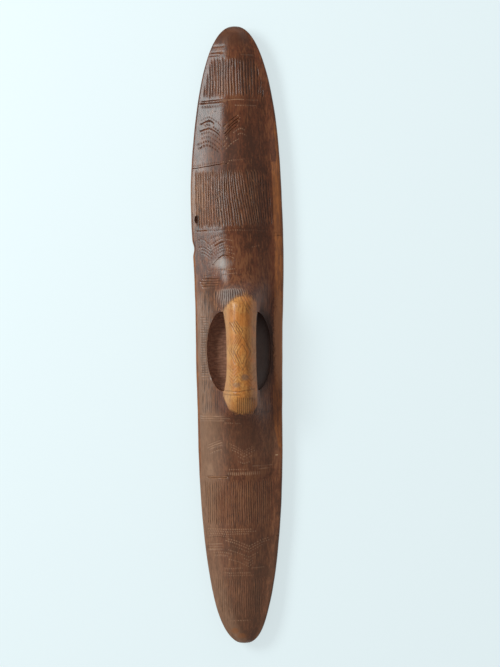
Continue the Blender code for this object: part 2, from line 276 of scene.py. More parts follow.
    def edge_wear(self, side: float, y: float) -> float:
        """How far the outline is worn back: slight waves, a dent at the left edge, a chip at the lower tip.

        Args:
            side: -1 for the left edge, 1 for the right edge.
            y: Place along the shield.

        Returns:
            The distance.
        """
        worn = self.edge_waves * (1.0 + ripple(y / 0.021, side * 3.0, 5.3))
        for place, reach, depth in self.dents if side < 0.0 else ():
            worn += depth * bump(y - place, reach)
        return worn * smooth_step((self.length / 2 - abs(y)) / 0.004)

    def hollow_half_width(self) -> float:
        """Half width of the scoop, which leaves the rim standing at both edges."""
        return self.half_width(self.grip_centre) - self.rim_width

    def hollow_distance(self, x: float, y: float) -> float:
        """About how far a place lies outside the scoop's plan, negative inside it.

        Args:
            x: Place across, from the centre line.
            y: Place along the shield.

        Returns:
            The distance.
        """
        lobe_start = self.hollow_half_width() - self.hollow_lobe
        along = abs(y - self.grip_centre) / (self.hollow_length / 2)
        across = max(0.0, abs(x) - lobe_start) / self.hollow_lobe
        away = math.hypot(along, across)
        radius = math.hypot(self.hollow_length / 2 * along, self.hollow_lobe * across)
        return radius * (1.0 - 1.0 / away) if away > 1e-6 else -self.hollow_lobe

    def rim_roll(self, x: float, y: float) -> float:
        """How far the back rolls down at the worn rim of the scoop, more so on the right.

        Args:
            x: Place across, from the centre line.
            y: Place along the shield.

        Returns:
            The depth of the roll there.
        """
        reach, full = self.right_roll if x > 0.0 else self.left_roll
        near = bump(max(0.0, self.hollow_distance(x, y)), reach)
        beside_grip = smooth_step((abs(x - self.grip_shift) - self.unrolled_half_width) / 0.004)
        return full * near * near * beside_grip

    def rounded_edge(self, side: float, y: float, end: float, steps: Outline) -> Row:
        """Points that round a row off at an edge.

        Args:
            side: -1 for the left edge, 1 for the right edge.
            y: Place along the shield.
            end: Height of the surface that the rounding leads to.
            steps: Shares of the quarter turn, with their keys.

        Returns:
            The points with their keys.
        """
        inner = self.inner_half_width(y)
        reach = max(self.half_width(y) - self.edge_wear(side, y), inner * self.narrowest_reach)
        found = []
        for step, key in steps:
            angle = step * math.pi / 2
            x = self.centre_line(y) + side * blend(inner, reach, math.cos(angle))
            found.append((side * key, Vector((x, y, blend(self.edge_middle(y), end, math.sin(angle))))))
        return found

    def back_row(
        self,
        columns: Sequence[float],
        along: Callable[[float], float],
        carve: Callable[[int, float, float], float] | None = None,
    ) -> Row:
        """Lays one row of points across the back, from the left edge over to the right edge.

        Args:
            columns: Shares of the inner half width, from -1 to 1.
            along: Gives a column's place along the shield.
            carve: Gives how deep a column is cut, from its number, its share and its place along.

        Returns:
            The row's points with their keys.
        """
        inner_points = []
        for number, share in enumerate(columns):
            y = along(share)
            x = share * self.inner_half_width(y)
            depth = carve(number, share, y) if carve else 0.0
            height = self.back_height(share, y) - depth - self.rim_roll(x, y)
            inner_points.append((share, Vector((self.centre_line(y) + x, y, height))))
        left, right = (
            self.rounded_edge(side, along(side), self.back_height(side, along(side)), BACK_EDGE)
            for side in (-1.0, 1.0)
        )
        return [*left, *inner_points, *right[::-1]]


@dataclass
class Skin:
    """Gathers the points and faces of one closed skin."""

    points: list[Vector] = field(default_factory=list)
    faces: list[tuple[int, ...]] = field(default_factory=list)

    def add_row(self, row: Row) -> Keyed:
        """Takes in the points of one row and gives back its keys with the points' numbers."""
        self.points.extend(place for _, place in row)
        return [(key, len(self.points) - len(row) + k) for k, (key, _) in enumerate(row)]

    def stitch(self, one: Keyed, other: Keyed) -> None:
        """Closes the strip between two rows of points, each sorted by its keys.

        Args:
            one: The first row.
            other: The row beside it, which may have another number of points.
        """
        if len(one) == len(other):
            corners = zip(one, other, other[1:], one[1:])
            self.faces += [tuple(number for _, number in face) for face in corners]
            return
        i = j = 0
        while i + j < len(one) + len(other) - 2:
            take_one = i < len(one) - 1
            if take_one and j < len(other) - 1:
                take_one = one[i][0] + one[i + 1][0] <= other[j][0] + other[j + 1][0]
            corner = one[i + 1][1] if take_one else other[j + 1][1]
            self.faces.append((one[i][1], other[j][1], corner))
            i, j = (i + 1, j) if take_one else (i, j + 1)

    def close(self, apex: int, row: Keyed) -> None:
        """Closes a row of points to a single point."""
        self.faces += [(apex, first, second) for (_, first), (_, second) in zip(row, row[1:])]

    def mesh(self) -> bmesh.types.BMesh:
        """The skin as one mesh with its faces turned outwards.

        Returns:
            The mesh.
        """
        made = bmesh.new()
        corners = [made.verts.new(point) for point in self.points]
        for face in self.faces:
            made.faces.new([corners[k] for k in face])
        bmesh.ops.recalc_face_normals(made, faces=made.faces)
        return made


Span = tuple["Mark", float, float]


class Mark(Enum):
    """What a strand of carving is made of."""

    CUT = "one long cut"
    SCRATCH = "one fine scratch"
    DOTS = "round pricks"
    TICKS = "short strokes across the strand"
    DASHES = "short strokes along the strand"

    def run(self, first: float, last: float) -> Span:
        """A run of this mark between two places across, in millimetres."""
        return self, first / 1000.0, last / 1000.0


@dataclass(frozen=True)
class Strand:
    """One line of carving that runs across the shield.

    The heights are its places along the shield at the stations of its band, or at the two ends
    of the band if the strand is straight. The spans say what it is made of, from where to where.
    """

    spans: tuple[Span, ...]
    heights: Heights
    depth: float = 0.00055
    half_width: float = 0.00080
    pitch: float = 0.0027

    @classmethod
    def row(cls, heights: Heights, size: Heights, *spans: Span) -> "Strand":
        """A strand whose heights and size (depth, half width, pitch) are in millimetres."""
        return cls(spans, tuple(height / 1000.0 for height in heights), *(part / 1000.0 for part in size))

    def share(self, mark: Mark, x: float, seed: float) -> float:
        """Share of the full depth that a mark has.

        Args:
            mark: What the strand is made of there.
            x: Place across the shield.
            seed: Tells the strands apart.

        Returns:
            The share.
        """
        if mark in (Mark.CUT, Mark.SCRATCH):
            return 1.45 if mark is Mark.CUT else 0.55
        beat = 0.5 + 0.5 * math.cos(2.0 * math.pi * (x / self.pitch + 0.35 * ripple(x / 0.014, seed, 9.1)))
        return smooth_step(beat * 2.2) if mark is Mark.DASHES else beat * beat

    def bite(self, lip: float, x: float, seed: float) -> float:
        """Depth of the strand's carving.

        Args:
            lip: Place within the strand's width, from -1 at one lip to 1 at the other.
            x: Place across the shield.
            seed: Tells the strands apart.

        Returns:
            The depth there.
        """
        if abs(lip) >= 1.0:
            return 0.0
        deepest = 0.0
        for mark, first, last in self.spans:
            start = first + 0.0010 * ripple(seed, 1.3, 2.0)
            end = last + 0.0020 * ripple(seed, 4.1, 2.0)
            inside = min(1.0, max(0.0, (x - start) / 0.0010)) * min(1.0, max(0.0, (end - x) / 0.0022))
            if inside > 0.0:
                deepest = max(deepest, inside * self.share(mark, x, seed))
        worn = 0.85 + 0.50 * ripple(x / 0.009, seed, 4.4)
        return self.depth * max(0.20, worn) * deepest


# Short names for the tables of strands.
cut, scratch, dots, ticks, dashes = (mark.run for mark in Mark)
strand = Strand.row


@dataclass(frozen=True)
class Band:
    """One stretch of the back, between two places along the shield."""

    top: float
    bottom: float

    def rows(self, form: ShieldForm) -> list[Row]:
        """The band's rows of points, from the top down."""
        raise NotImplementedError


@dataclass(frozen=True)
class PlainTip(Band):
    """An uncarved tip, rounded off with rows that are closer together near its end."""

    steps: int = 12
    columns: int = 44

    def rows(self, form: ShieldForm) -> list[Row]:
        """The tip's rows of points, from the top down.

        Args:
            form: The shield's form.

        Returns:
            The rows.
        """
        shares = [math.sin(math.pi * (k / self.columns - 0.5)) for k in range(self.columns + 1)]
        upper = self.top > 0.0
        tip, end = (self.top, self.bottom) if upper else (self.bottom, self.top)
        places = [blend(tip, end, (k / self.steps) ** 2) for k in range(1, self.steps + 1)]
        return [form.back_row(shares, lambda share: y) for y in (places if upper else reversed(places))]


@dataclass(frozen=True)
class Lane:
    """One row of points of a band of strands, at a share of the way between two lines."""

    upper: Heights
    lower: Heights
    share: float = 0.0
    strand: Strand | None = None
    lip: float = 0.0


@dataclass(frozen=True)
class StrandBand(Band):
    """Strands of carving side by side, each straight or with its own zigzag."""

    strands: tuple[Strand, ...] = ()
    seed: float = 0.0
    stations: Heights = (-0.055, 0.055)
    column_pitch: float = 0.00060
    fine_to: float = 0.037
    margin: float = 0.0040
    widest_gap: float = 0.0030
    coarse_pitch: float = 0.0016
    crest_power: float = 1.45

    def place(self, heights: Heights, x: float) -> float:
        """Where a line lies along the shield: round at its crests, sharp in its dips.

        Args:
            heights: The line's places at the stations.
            x: Place across the shield.

        Returns:
            The place along the shield.
        """
        stations = self.stations
        if len(heights) < len(stations):
            return blend(heights[0], heights[-1], (x - stations[0]) / (stations[-1] - stations[0]))
        for x0, x1, y0, y1 in zip(stations, stations[1:], heights, heights[1:]):
            if x <= x1:
                share = min(1.0, max(0.0, (x - x0) / (x1 - x0)))
                if y0 > y1:
                    return y0 + (y1 - y0) * share**self.crest_power
                return y1 + (y0 - y1) * (1.0 - share) ** self.crest_power
        return heights[-1]

    def widest(self, upper: Heights, lower: Heights) -> float:
        """Widest gap between two lines."""
        return max(self.place(upper, x) - self.place(lower, x) for x in self.stations)

    def lanes(self) -> list[Lane]:
        """Every row of the band: each line, three rows for each strand, and rows that fill the gaps.

        Returns:
            The rows, from the top down.
        """
        lines = [(self.top,), *[one.heights for one in self.strands], (self.bottom,)]
        found = [Lane(lines[0], lines[0])]
        for upper, lower, one in zip(lines, lines[1:], [*self.strands, None]):
            fills = max(0, math.ceil(self.widest(upper, lower) / self.widest_gap - 1.4))
            found += [Lane(upper, lower, k / (fills + 1)) for k in range(1, fills + 1)]
            if one:
                found += [Lane(lower, lower, 0.0, one, lip) for lip in (-1.0, 0.0, 1.0)]
        return [*found, Lane(lines[-1], lines[-1])]

    def columns(self, width: float) -> list[float]:
        """Columns across the band, finer where the carving is.

        Args:
            width: The band's inner half width.

        Returns:
            The columns as shares of that width.
        """
        first, last = -width + self.margin, width - self.margin
        fine_to = min(self.fine_to, last - 0.0015)
        steps = round((fine_to - first) / self.column_pitch)
        coarse = max(1, round((last - fine_to) / self.coarse_pitch))
        inner = [blend(first, fine_to, k / steps) for k in range(steps)]
        inner += [blend(fine_to, last, k / coarse) for k in range(coarse + 1)]
        ends = (0.0, 1.0 / 3.0, 2.0 / 3.0)
        left = [blend(-width, first, share) for share in ends]
        right = [blend(width, last, share) for share in reversed(ends)]
        return [x / width for x in (*left, *inner, *right)]

    def along(self, lane: Lane, x: float) -> float:
        """Where a row of points lies along the shield, a little uneven.

        Args:
            lane: The row.
            x: Place across the shield.

        Returns:
            The place along the shield.
        """
        shift = lane.lip * lane.strand.half_width if lane.strand else 0.0
        place = blend(self.place(lane.upper, x), self.place(lane.lower, x), lane.share) - shift
        return place + 0.0006 * ripple(x / 0.011, place / 0.011, self.seed)

    def bite(self, lane: Lane, x: float) -> float:
        """How deep a row of points is cut at a place across."""
        return lane.strand.bite(lane.lip, x, self.seed + lane.upper[0] * 900.0) if lane.strand else 0.0

    def rows(self, form: ShieldForm) -> list[Row]:
        """The band's rows of points.

        Args:
            form: The shield's form.

        Returns:
            The rows, from the top down.
        """
        width = form.inner_half_width((self.top + self.bottom) / 2)
        columns = self.columns(width)
        return [
            form.back_row(
                columns,
                lambda share: self.along(lane, share * width),
                lambda number, share, y: self.bite(lane, share * width),
            )
            for lane in self.lanes()
        ]


@dataclass(frozen=True)
class FluteBand(Band):
    """Flutes cut along the shield, side by side, by hand and so never quite even."""

    pitch: float = 0.0032
    depth: float = 0.00085
    left_margin: float = 0.0045
    right_margin: float = 0.0105
    row_step: float = 0.0023
    wander: float = 0.0011
    shiver: float = 0.00028
    lean: float = 0.0
    broken: float = 0.3
    stroke: float = 0.016
    seed: float = 0.0
    profile: tuple[Pair, ...] = ((0.0, 0.0), (0.26, 0.06), (0.46, 0.95), (0.62, 1.0), (0.82, 0.40))

    def stroke_share(self, flute: int, y: float) -> float:
        """Share of the depth that the single strokes of a broken flute leave.

        Args:
            flute: The flute's number.
            y: Place along the shield.

        Returns:
            The share.
        """
        length = self.stroke * (0.7 + 0.6 * chance(flute, self.seed + 11.0))
        start = 7.0 * chance(flute, self.seed + 12.0)
        along = y / length + start + 0.4 * ripple(flute * 0.37, y / 0.02, 13.0)
        gap = 1.0 - smooth_step(abs(math.sin(math.pi * along)) / 0.42)
        return 1.0 - self.broken * gap

    def layout(self, width: float) -> list[tuple[float, int, float]]:
        """The columns where the band is widest.

        Args:
            width: Half of that width.

        Returns:
            Each column's place across, the flute it belongs to (-1 for none) and its share of the depth.
        """
        first, last = -width + self.left_margin, width - self.right_margin
        edges = [first]
        for k in range(round((last - first) / self.pitch)):
            edges.append(edges[-1] + self.pitch * (0.62 + 0.76 * chance(k, self.seed)))
        stretch = (last - first) / (edges[-1] - first)
        edges = [first + (edge - first) * stretch for edge in edges]
        found = [(blend(-width, first, share), -1, 0.0) for share in (0.0, 0.33, 0.67)]
        for k, (left, right) in enumerate(zip(edges, edges[1:])):
            found += [(blend(left, right, phase), k, depth) for phase, depth in self.profile]
        return found + [(blend(last, width, share), -1, 0.0) for share in (0.0, 0.2, 0.4, 0.6, 0.8, 1.0)]

    def moved(self, x: float, y: float, width: float, inner: float) -> float:
        """Where a column lies across in a row.

        Args:
            x: Its place where the band is widest.
            y: The row's place along the shield.
            width: Half of the widest width.
            inner: Half of the row's own width.

        Returns:
            The place, wavering as hand-cut flutes do and pressed together at a narrower row's edges.
        """
        margin = self.right_margin if x > 0.0 else self.left_margin
        hold = min(1.0, (width - abs(x)) / margin)
        sway = self.wander * ripple(x / 0.020, y / 0.038, self.seed)
        shiver = self.shiver * ripple(x / 0.0045, y / 0.010, self.seed + 5.0)
        lean = self.lean * (y - (self.top + self.bottom) / 2) * bump(x - 0.010, 0.040)
        x += hold * (sway + shiver + lean)
        limit = inner - margin
        if abs(x) <= limit:
            return x
        return math.copysign(limit + (abs(x) - limit) * margin / (width - limit), x)

    def cut_depth(self, column: tuple[float, int, float], y: float, inner: float) -> float:
        """Depth of a column's cut in a row.

        Args:
            column: The column as the layout gives it.
            y: The row's place along the shield.
            inner: Half of the row's own width.

        Returns:
            The depth.
        """
        x, flute, profile = column
        margin = self.right_margin if x > 0.0 else self.left_margin
        room = smooth_step((inner - margin - abs(x)) / 0.0020 + 0.5)
        if flute < 0 or profile == 0.0 or room == 0.0:
            return 0.0
        late = 0.0006 + 0.0028 * chance(flute, self.seed + 1.0)
        early = 0.0006 + 0.0034 * chance(flute, self.seed + 2.0)
        fade = smooth_step((self.top - y - late) / 0.0035) * smooth_step((y - self.bottom - early) / 0.0040)
        strength = 0.72 + 0.30 * chance(flute, self.seed + 3.0)
        strength += 0.50 * ripple(flute * 0.7, y / 0.012, self.seed + 8.0)
        strength = max(0.10, strength) * self.stroke_share(flute, y)
        return self.depth * strength * profile * fade * room

    def rows(self, form: ShieldForm) -> list[Row]:
        """The band's rows of points.

        Args:
            form: The shield's form.

        Returns:
            The rows, from the top down.
        """
        width = max(form.inner_half_width(y) for y in (self.top, self.bottom))
        layout = self.layout(width)
        steps = max(1, round((self.top - self.bottom) / self.row_step))
        made = []
        for k in range(steps + 1):
            y = blend(self.top, self.bottom, k / steps)
            inner = form.inner_half_width(y)
            columns = [self.moved(x, y, width, inner) / inner for x, _, _ in layout]
            row = form.back_row(
                columns,
                lambda share: y,
                lambda number, share, place: self.cut_depth(layout[number], place, inner),
            )
            made.append(row)
        return made


@dataclass(frozen=True)
class GripField(Band):
    """The middle of the back: flanks beside the hollow and the patterned grip between them."""

    row_step: float = 0.00090
    end_row_step: float = 0.0014
    grip_from: float = -0.0195
    grip_to: float = 0.0255
    line_half_width: float = 0.00058
    line_depth: float = 0.00054
    flank_pitch: float = 0.0026
    flank_depth: float = 0.00042
    ridge_pitch: float = 0.0024
    ridge_depths: Pair = (0.00030, 0.00115)
    foot_depth: float = 0.00070
    rung_pitch: float = 0.0030
    rung_depth: float = 0.00050
    hollow_step: float = 0.0040
    grip_step: float = 0.00058
    left_step: float = 0.00070
    right_step: float = 0.00095

    def pattern(self) -> list[Heights]:
        """The straight cuts on the grip.

        Returns:
            Each cut's two ends, with its share of the depth.
        """
        runs = [
            (0.65, (0.0, 48.6), (11.9, 24.6)),
            (0.60, (3.3, 49.8), (12.8, 30.6)),
            (0.45, (7.0, 48.6), (15.2, 33.0)),
            (0.30, (7.0, 24.0), (14.0, 11.0)),
            (0.62, (4.0, -10.6), (-1.8, -20.8), (3.6, -34.8), (9.6, -21.5), (4.0, -10.6)),
            (0.60, (4.6, -2.2), (13.8, -20.0), (4.6, -41.8), (-5.0, -19.5), (4.6, -2.2)),
            (0.35, (8.0, 1.0), (18.0, -19.0), (10.0, -39.0)),
            (0.90, (-20.0, -65.2), (-1.5, -67.2), (18.5, -63.6)),
            (0.90, (-19.5, -70.0), (0.2, -70.3)),
        ]
        for k in range(4):
            turn = (4.8 - 2.6 * k, 4.2 - 1.0 * k)
            runs.append((0.95, (-3.6 - 2.4 * k, 16.0 - 0.6 * k), turn))
            if k < 3:
                tail = [(-7.0 - 2.6 * k, -18.5), (0.2 - 2.6 * k, -32.0 - 0.8 * k)]
                runs.append((0.70 - 0.10 * k, turn, *tail))
        for k in range(6):
            base = -35.5 - 4.3 * k
            zigzag = [(-12.0 + 5.2 * j, base - (6.2 if j % 2 else 0.0)) for j in range(6 + k % 2)]
            runs.append((0.30 + 0.25 * chance(k, 41.0), *zigzag))
        return [
            (*(part / 1000.0 for part in (*one, *other)), share)
            for share, *run in runs
            for one, other in zip(run, run[1:])
        ]

    def pattern_depth(self, cuts: Sequence[Heights], x: float, y: float) -> float:
        """Depth of the grip's straight cuts.

        Args:
            cuts: The cuts.
            x: Place across, from the centre line.
            y: Place along the shield.

        Returns:
            The depth there.
        """
        deepest = 0.0
        for x0, y0, x1, y1, strength in cuts:
            if y < min(y0, y1) - 0.001 or y > max(y0, y1) + 0.001:
                continue
            if x < min(x0, x1) - 0.001 or x > max(x0, x1) + 0.001:
                continue
            run, rise = x1 - x0, y1 - y0
            share = ((x - x0) * run + (y - y0) * rise) / (run * run + rise * rise)
            share = min(1.0, max(0.0, share))
            distance = math.hypot(x - x0 - share * run, y - y0 - share * rise)
            deepest = max(deepest, strength * (1.0 - (distance / self.line_half_width) ** 2))
        return self.line_depth * deepest

    def flutes(self, form: ShieldForm, x: float, y: float) -> float:
        """Depth of the streaks on the flanks, the ridge and the foot of the grip.

        Args:
            form: The shield's form.
            x: Place across, from the centre line.
            y: Place along the shield.

        Returns:
            The depth there.
        """
        inner = form.inner_half_width(y)
        if x < 0.004 - inner or x > inner - 0.010:
            return 0.0
        clear = smooth_step(form.hollow_distance(x, y) / 0.0025)
        lean, pitch, depth = 0.0, self.flank_pitch, self.flank_depth
        on_ridge = bump(x + 0.0085, 0.021) * bump(y - 0.0470, 0.0200)
        if on_ridge > 0.02:
            lean = 11.0 * (x + 0.012) * (0.056 - y) + 0.0004 * ripple(x / 0.004, y / 0.009, 27.0)
            pitch = self.ridge_pitch
            arch = 0.0440 - 0.0150 * ((x - 0.0062) / 0.0240) ** 2
            depth = blend(*self.ridge_depths, on_ridge) * (0.25 + 0.75 * smooth_step((y - arch) / 0.003))
        on_foot = smooth_step((-0.0725 - y) / 0.003) * smooth_step((y + 0.0945) / 0.003)
        on_foot *= smooth_step((x + 0.0050) / 0.003) * smooth_step((0.0205 - x) / 0.002)
        if on_foot > 0.02:
            pitch, depth, clear = self.ridge_pitch, self.foot_depth * on_foot, 1.0
        elif abs(x - 0.004) < 0.0215 and on_ridge <= 0.02:
            return 0.0
        wander = 0.0010 * ripple(x / 0.016, y / 0.030, 21.0)
        phase = (x + wander - lean) / pitch
        wave = 0.5 + 0.5 * math.cos(2.0 * math.pi * phase)
        patchy = ripple(round(phase) * 0.71, y / 0.009, 23.0)
        strength = blend(0.60 + 1.0 * patchy, 0.85 + 0.5 * patchy, on_ridge)
        strength = max(0.0, strength, 0.90 * on_foot)
        ends = smooth_step((self.top - y) / 0.004) * smooth_step((y - self.bottom) / 0.004)
        return depth * wave * strength * clear * ends

    def ladder(self, form: ShieldForm, x: float, y: float) -> float:
        """Depth of the short rungs between the left margin and the hollow.

        Args:
            form: The shield's form.
            x: Place across, from the centre line.
            y: Place along the shield.

        Returns:
            The depth there.
        """
        left_edge = -form.inner_half_width(y)
        if not (left_edge + 0.0035 < x < left_edge + 0.0125) or not -0.052 < y < 0.021:
            return 0.0
        clear = smooth_step((form.hollow_distance(x, y) - 0.0006) / 0.001)
        uneven = y + 0.0008 * ripple(x / 0.01, y / 0.01, 31.0)
        wave = 0.5 + 0.5 * math.cos(2.0 * math.pi * uneven / self.rung_pitch)
        strength = 0.7 + 0.6 * ripple(x / 0.02, y / 0.006, 33.0)
        return self.rung_depth * wave * wave * max(0.0, strength) * clear

    def step_at(self, form: ShieldForm, x: float, inside: bool) -> float:
        """Distance to the next column: small where there is carving, wide above the hollow.

        Args:
            form: The shield's form.
            x: Place across, from the centre line.
            inside: Whether the row crosses the hollow.

        Returns:
            The distance.
        """
        hollow = form.hollow_half_width()
        if inside and (self.grip_to < x < hollow - 0.007 or 0.004 - hollow < x < self.grip_from - 0.004):
            return self.hollow_step
        if self.grip_from <= x <= self.grip_to:
            return self.grip_step
        return self.right_step if x > 0.0 else self.left_step

    def columns_at(self, form: ShieldForm, y: float) -> list[float]:
        """Columns across a row.

        Args:
            form: The shield's form.
            y: The row's place along the shield.

        Returns:
            The columns as shares of the row's inner half width.
        """
        width = form.inner_half_width(y)
        inside = abs(y - form.grip_centre) < form.hollow_length / 2 - 0.001
        found = [-width]
        x = -width
        while x < width - 0.0004:
            x += self.step_at(form, x, inside)
            found.append(min(x, width))
        return [x / width for x in found]

    def depth(self, form: ShieldForm, cuts: Sequence[Heights], x: float, y: float) -> float:
        """Depth of whatever is carved at a place."""
        depth = max(self.flutes(form, x, y), self.ladder(form, x, y))
        return max(depth, self.pattern_depth(cuts, x, y)) if self.grip_from < x < self.grip_to else depth

    def rows(self, form: ShieldForm) -> list[Row]:
        """The band's rows of points.

        Args:
            form: The shield's form.

        Returns:
            The rows, from the top down.
        """
        cuts = self.pattern()
        fine_from = form.grip_centre + form.hollow_length / 2 + 0.014
        fine_to = form.grip_centre - form.hollow_length / 2 - 0.004
        places = []
        for start, end, step in (
            (self.top, fine_from, self.end_row_step),
            (fine_from, fine_to, self.row_step),
            (fine_to, self.bottom, self.end_row_step),
        ):
            steps = round((start - end) / step)
            places += [blend(start, end, k / steps) for k in range(steps)]
        made = []
        for y in (*places, self.bottom):
            width = form.inner_half_width(y)
            row = form.back_row(
                self.columns_at(form, y),
                lambda share: y,
                lambda number, share, place: self.depth(form, cuts, share * width, place),
            )
            made.append(row)
        return made


def stacked_mesh(rings: Sequence[Ring]) -> bmesh.types.BMesh:
    """A closed mesh through rings of points.

    Args:
        rings: Rings with as many points each.

    Returns:
        The mesh, capped at both ends.
    """
    mesh = bmesh.new()
    loops = [[mesh.verts.new(point) for point in ring] for ring in rings]
    for one, other in zip(loops, loops[1:]):
        for k, vertex in enumerate(one):
            after = (k + 1) % len(one)
            mesh.faces.new((vertex, one[after], other[after], other[k]))
    mesh.faces.new(loops[0])
    mesh.faces.new(loops[-1])
    bmesh.ops.recalc_face_normals(mesh, faces=mesh.faces)
    return mesh


@dataclass(frozen=True)
class Hollow:
    """The scoop under the grip, with the marks of the gouge in it."""

    form: ShieldForm
    rim_height: float = 0.0185
    floor_thickness: float = 0.009
    sides: int = 112
    reaches: Heights = (0.18, 0.45, 0.58, 0.70, 0.79, 0.86, 0.91, 0.95, 0.98, 1.0)
    rises: Heights = (-0.02, 0.0, 0.05, 0.12, 0.24, 0.38, 0.53, 0.68, 0.84, 1.0)

    def outline(self, reach: float) -> Outline:
        """Plan of the scoop about its middle: a half oval at each side and straight ends between.

        Args:
            reach: Share of the full size.

        Returns:
            The outline's points.
        """
        form = self.form
        points = []
        for k in range(self.sides):
            angle = 2.0 * math.pi * (k + 0.5) / self.sides
            start = math.copysign(form.hollow_half_width() - form.hollow_lobe, math.cos(angle))
            x = start + form.hollow_lobe * math.cos(angle)
            points.append((x * reach, form.hollow_length / 2 * math.sin(angle) * reach))
        return points

    def mesh(self) -> bmesh.types.BMesh:
        """The scoop as a closed shape that runs straight up above its rim.

        Returns:
            The mesh.
        """
        form = self.form
        middle = form.centre_line(form.grip_centre)
        rings = []
        for reach, rise in zip(self.reaches, self.rises):
            ring = []
            for x, y in self.outline(reach):
                gouge = ripple(x / 0.009 + y / 0.05, y / 0.0065, 41.0)
                height = blend(self.floor_thickness, self.rim_height, rise) + 0.0005 * gouge
                swell = 1.0 + 0.010 * gouge * math.sin(math.pi * reach)
                ring.append((middle + x * swell, form.grip_centre + y * swell, height))
            rings.append(ring)
        top = form.grip_depth + CUT_CLEARANCE
        rings.append([(middle + x, form.grip_centre + y, top) for x, y in self.outline(1.0)])
        return stacked_mesh(rings)


@dataclass(frozen=True)
class GripBar:
    """The bar of wood that is left standing across the hollow."""

    form: ShieldForm
    width: float = 0.0355
    end_width: float = 0.0450
    thickness: float = 0.020
    shoulder_round: float = 0.0055
    fillet: float = 0.005
    flare_power: int = 4
    stations: int = 44
    underside_sides: int = 24

    def section(self, along: float) -> Outline:
        """Outline across the bar.

        Args:
            along: Share of half the hollow's length from the bar's middle.

        Returns:
            The outline's points.
        """
        flare = abs(along) ** self.flare_power
        half = blend(self.width, self.end_width, flare) / 2
        shoulder = self.form.grip_depth - self.thickness + self.shoulder_round
        underside = self.form.grip_depth - self.thickness - self.fillet * flare
        above = self.form.grip_depth + 2.0 * CUT_CLEARANCE
        points = [(half, above), (-half, above)]
        for k in range(self.underside_sides + 1):
            angle = math.pi * k / self.underside_sides
            points.append((-half * math.cos(angle), shoulder - (shoulder - underside) * math.sin(angle)))
        return points

    def mesh(self) -> bmesh.types.BMesh:
        """The bar as a closed shape that reaches into the wood at both ends.

        Returns:
            The mesh.
        """
        form = self.form
        reach = 1.0 + CUT_CLEARANCE / form.hollow_length
        middle = form.centre_line(form.grip_centre) + form.grip_shift
        rings = []
        for k in range(self.stations + 1):
            along = -reach * math.cos(math.pi * k / self.stations)
            y = form.grip_centre + along * form.hollow_length / 2
            rings.append([(middle + x, y, z) for x, z in self.section(along)])
        return stacked_mesh(rings)


@dataclass(frozen=True)
class KnotPit:
    """The pit of a lost knot beside the left edge, narrowing as it goes down."""

    form: ShieldForm
    from_edge: float = 0.0063
    from_middle: float = 0.1385
    width: float = 0.0046
    length: float = 0.0100
    depth: float = 0.0055
    taper: float = 0.5
    sides: int = 28

    def mesh(self) -> bmesh.types.BMesh:
        """The pit as a closed shape that stands up out of the surface.

        Returns:
            The mesh.
        """
        y = self.from_middle
        across = self.from_edge - self.form.half_width(y)
        x = self.form.centre_line(y) + across
        surface = self.form.back_height(across / self.form.inner_half_width(y), y)
        outline = []
        for k in range(self.sides):
            angle = 2.0 * math.pi * k / self.sides
            turn = Vector((math.cos(angle), math.sin(angle)))
            uneven = 1.0 + 0.16 * ripple(2.0 * turn.x, 2.0 * turn.y, 51.0)
            outline.append((self.width / 2 * uneven * turn.x, self.length / 2 * uneven * turn.y))
        levels = ((self.taper, -self.depth), (0.85, -0.45 * self.depth), (1.0, 0.0), (1.0, CUT_CLEARANCE))
        rings = []
        for reach, rise in levels:
            rings.append([(x + dx * reach, y + dy * reach, surface + rise) for dx, dy in outline])
        return stacked_mesh(rings)


def add_object(name: str, mesh: bmesh.types.BMesh) -> bpy.types.Object:
    """Puts a mesh in the scene.

    Args:
        name: The object's name.
        mesh: The mesh, which is used up.

    Returns:
        The object.
    """
    data = bpy.data.meshes.new(name)
    mesh.to_mesh(data)
    mesh.free()
    made = bpy.data.objects.new(name, data)
    bpy.context.scene.collection.objects.link(made)
    return made


def carve_away(target: bpy.types.Object, cutter: bpy.types.Object) -> None:
    """Takes the cutter's shape out of the target and removes the cutter.

    Args:
        target: The object that is cut.
        cutter: The object whose shape is taken away.
    """
    modifier = target.modifiers.new(cutter.name, "BOOLEAN")
    modifier.operation = "DIFFERENCE"
    modifier.solver = "EXACT"
    modifier.object = cutter
    evaluated = target.evaluated_get(bpy.context.evaluated_depsgraph_get())
    carved = bpy.data.meshes.new_from_object(evaluated)
    target.modifiers.clear()
    uncut, cutter_mesh = target.data, cutter.data
    target.data = carved
    bpy.data.objects.remove(cutter)
    bpy.data.meshes.remove(uncut)
    bpy.data.meshes.remove(cutter_mesh)


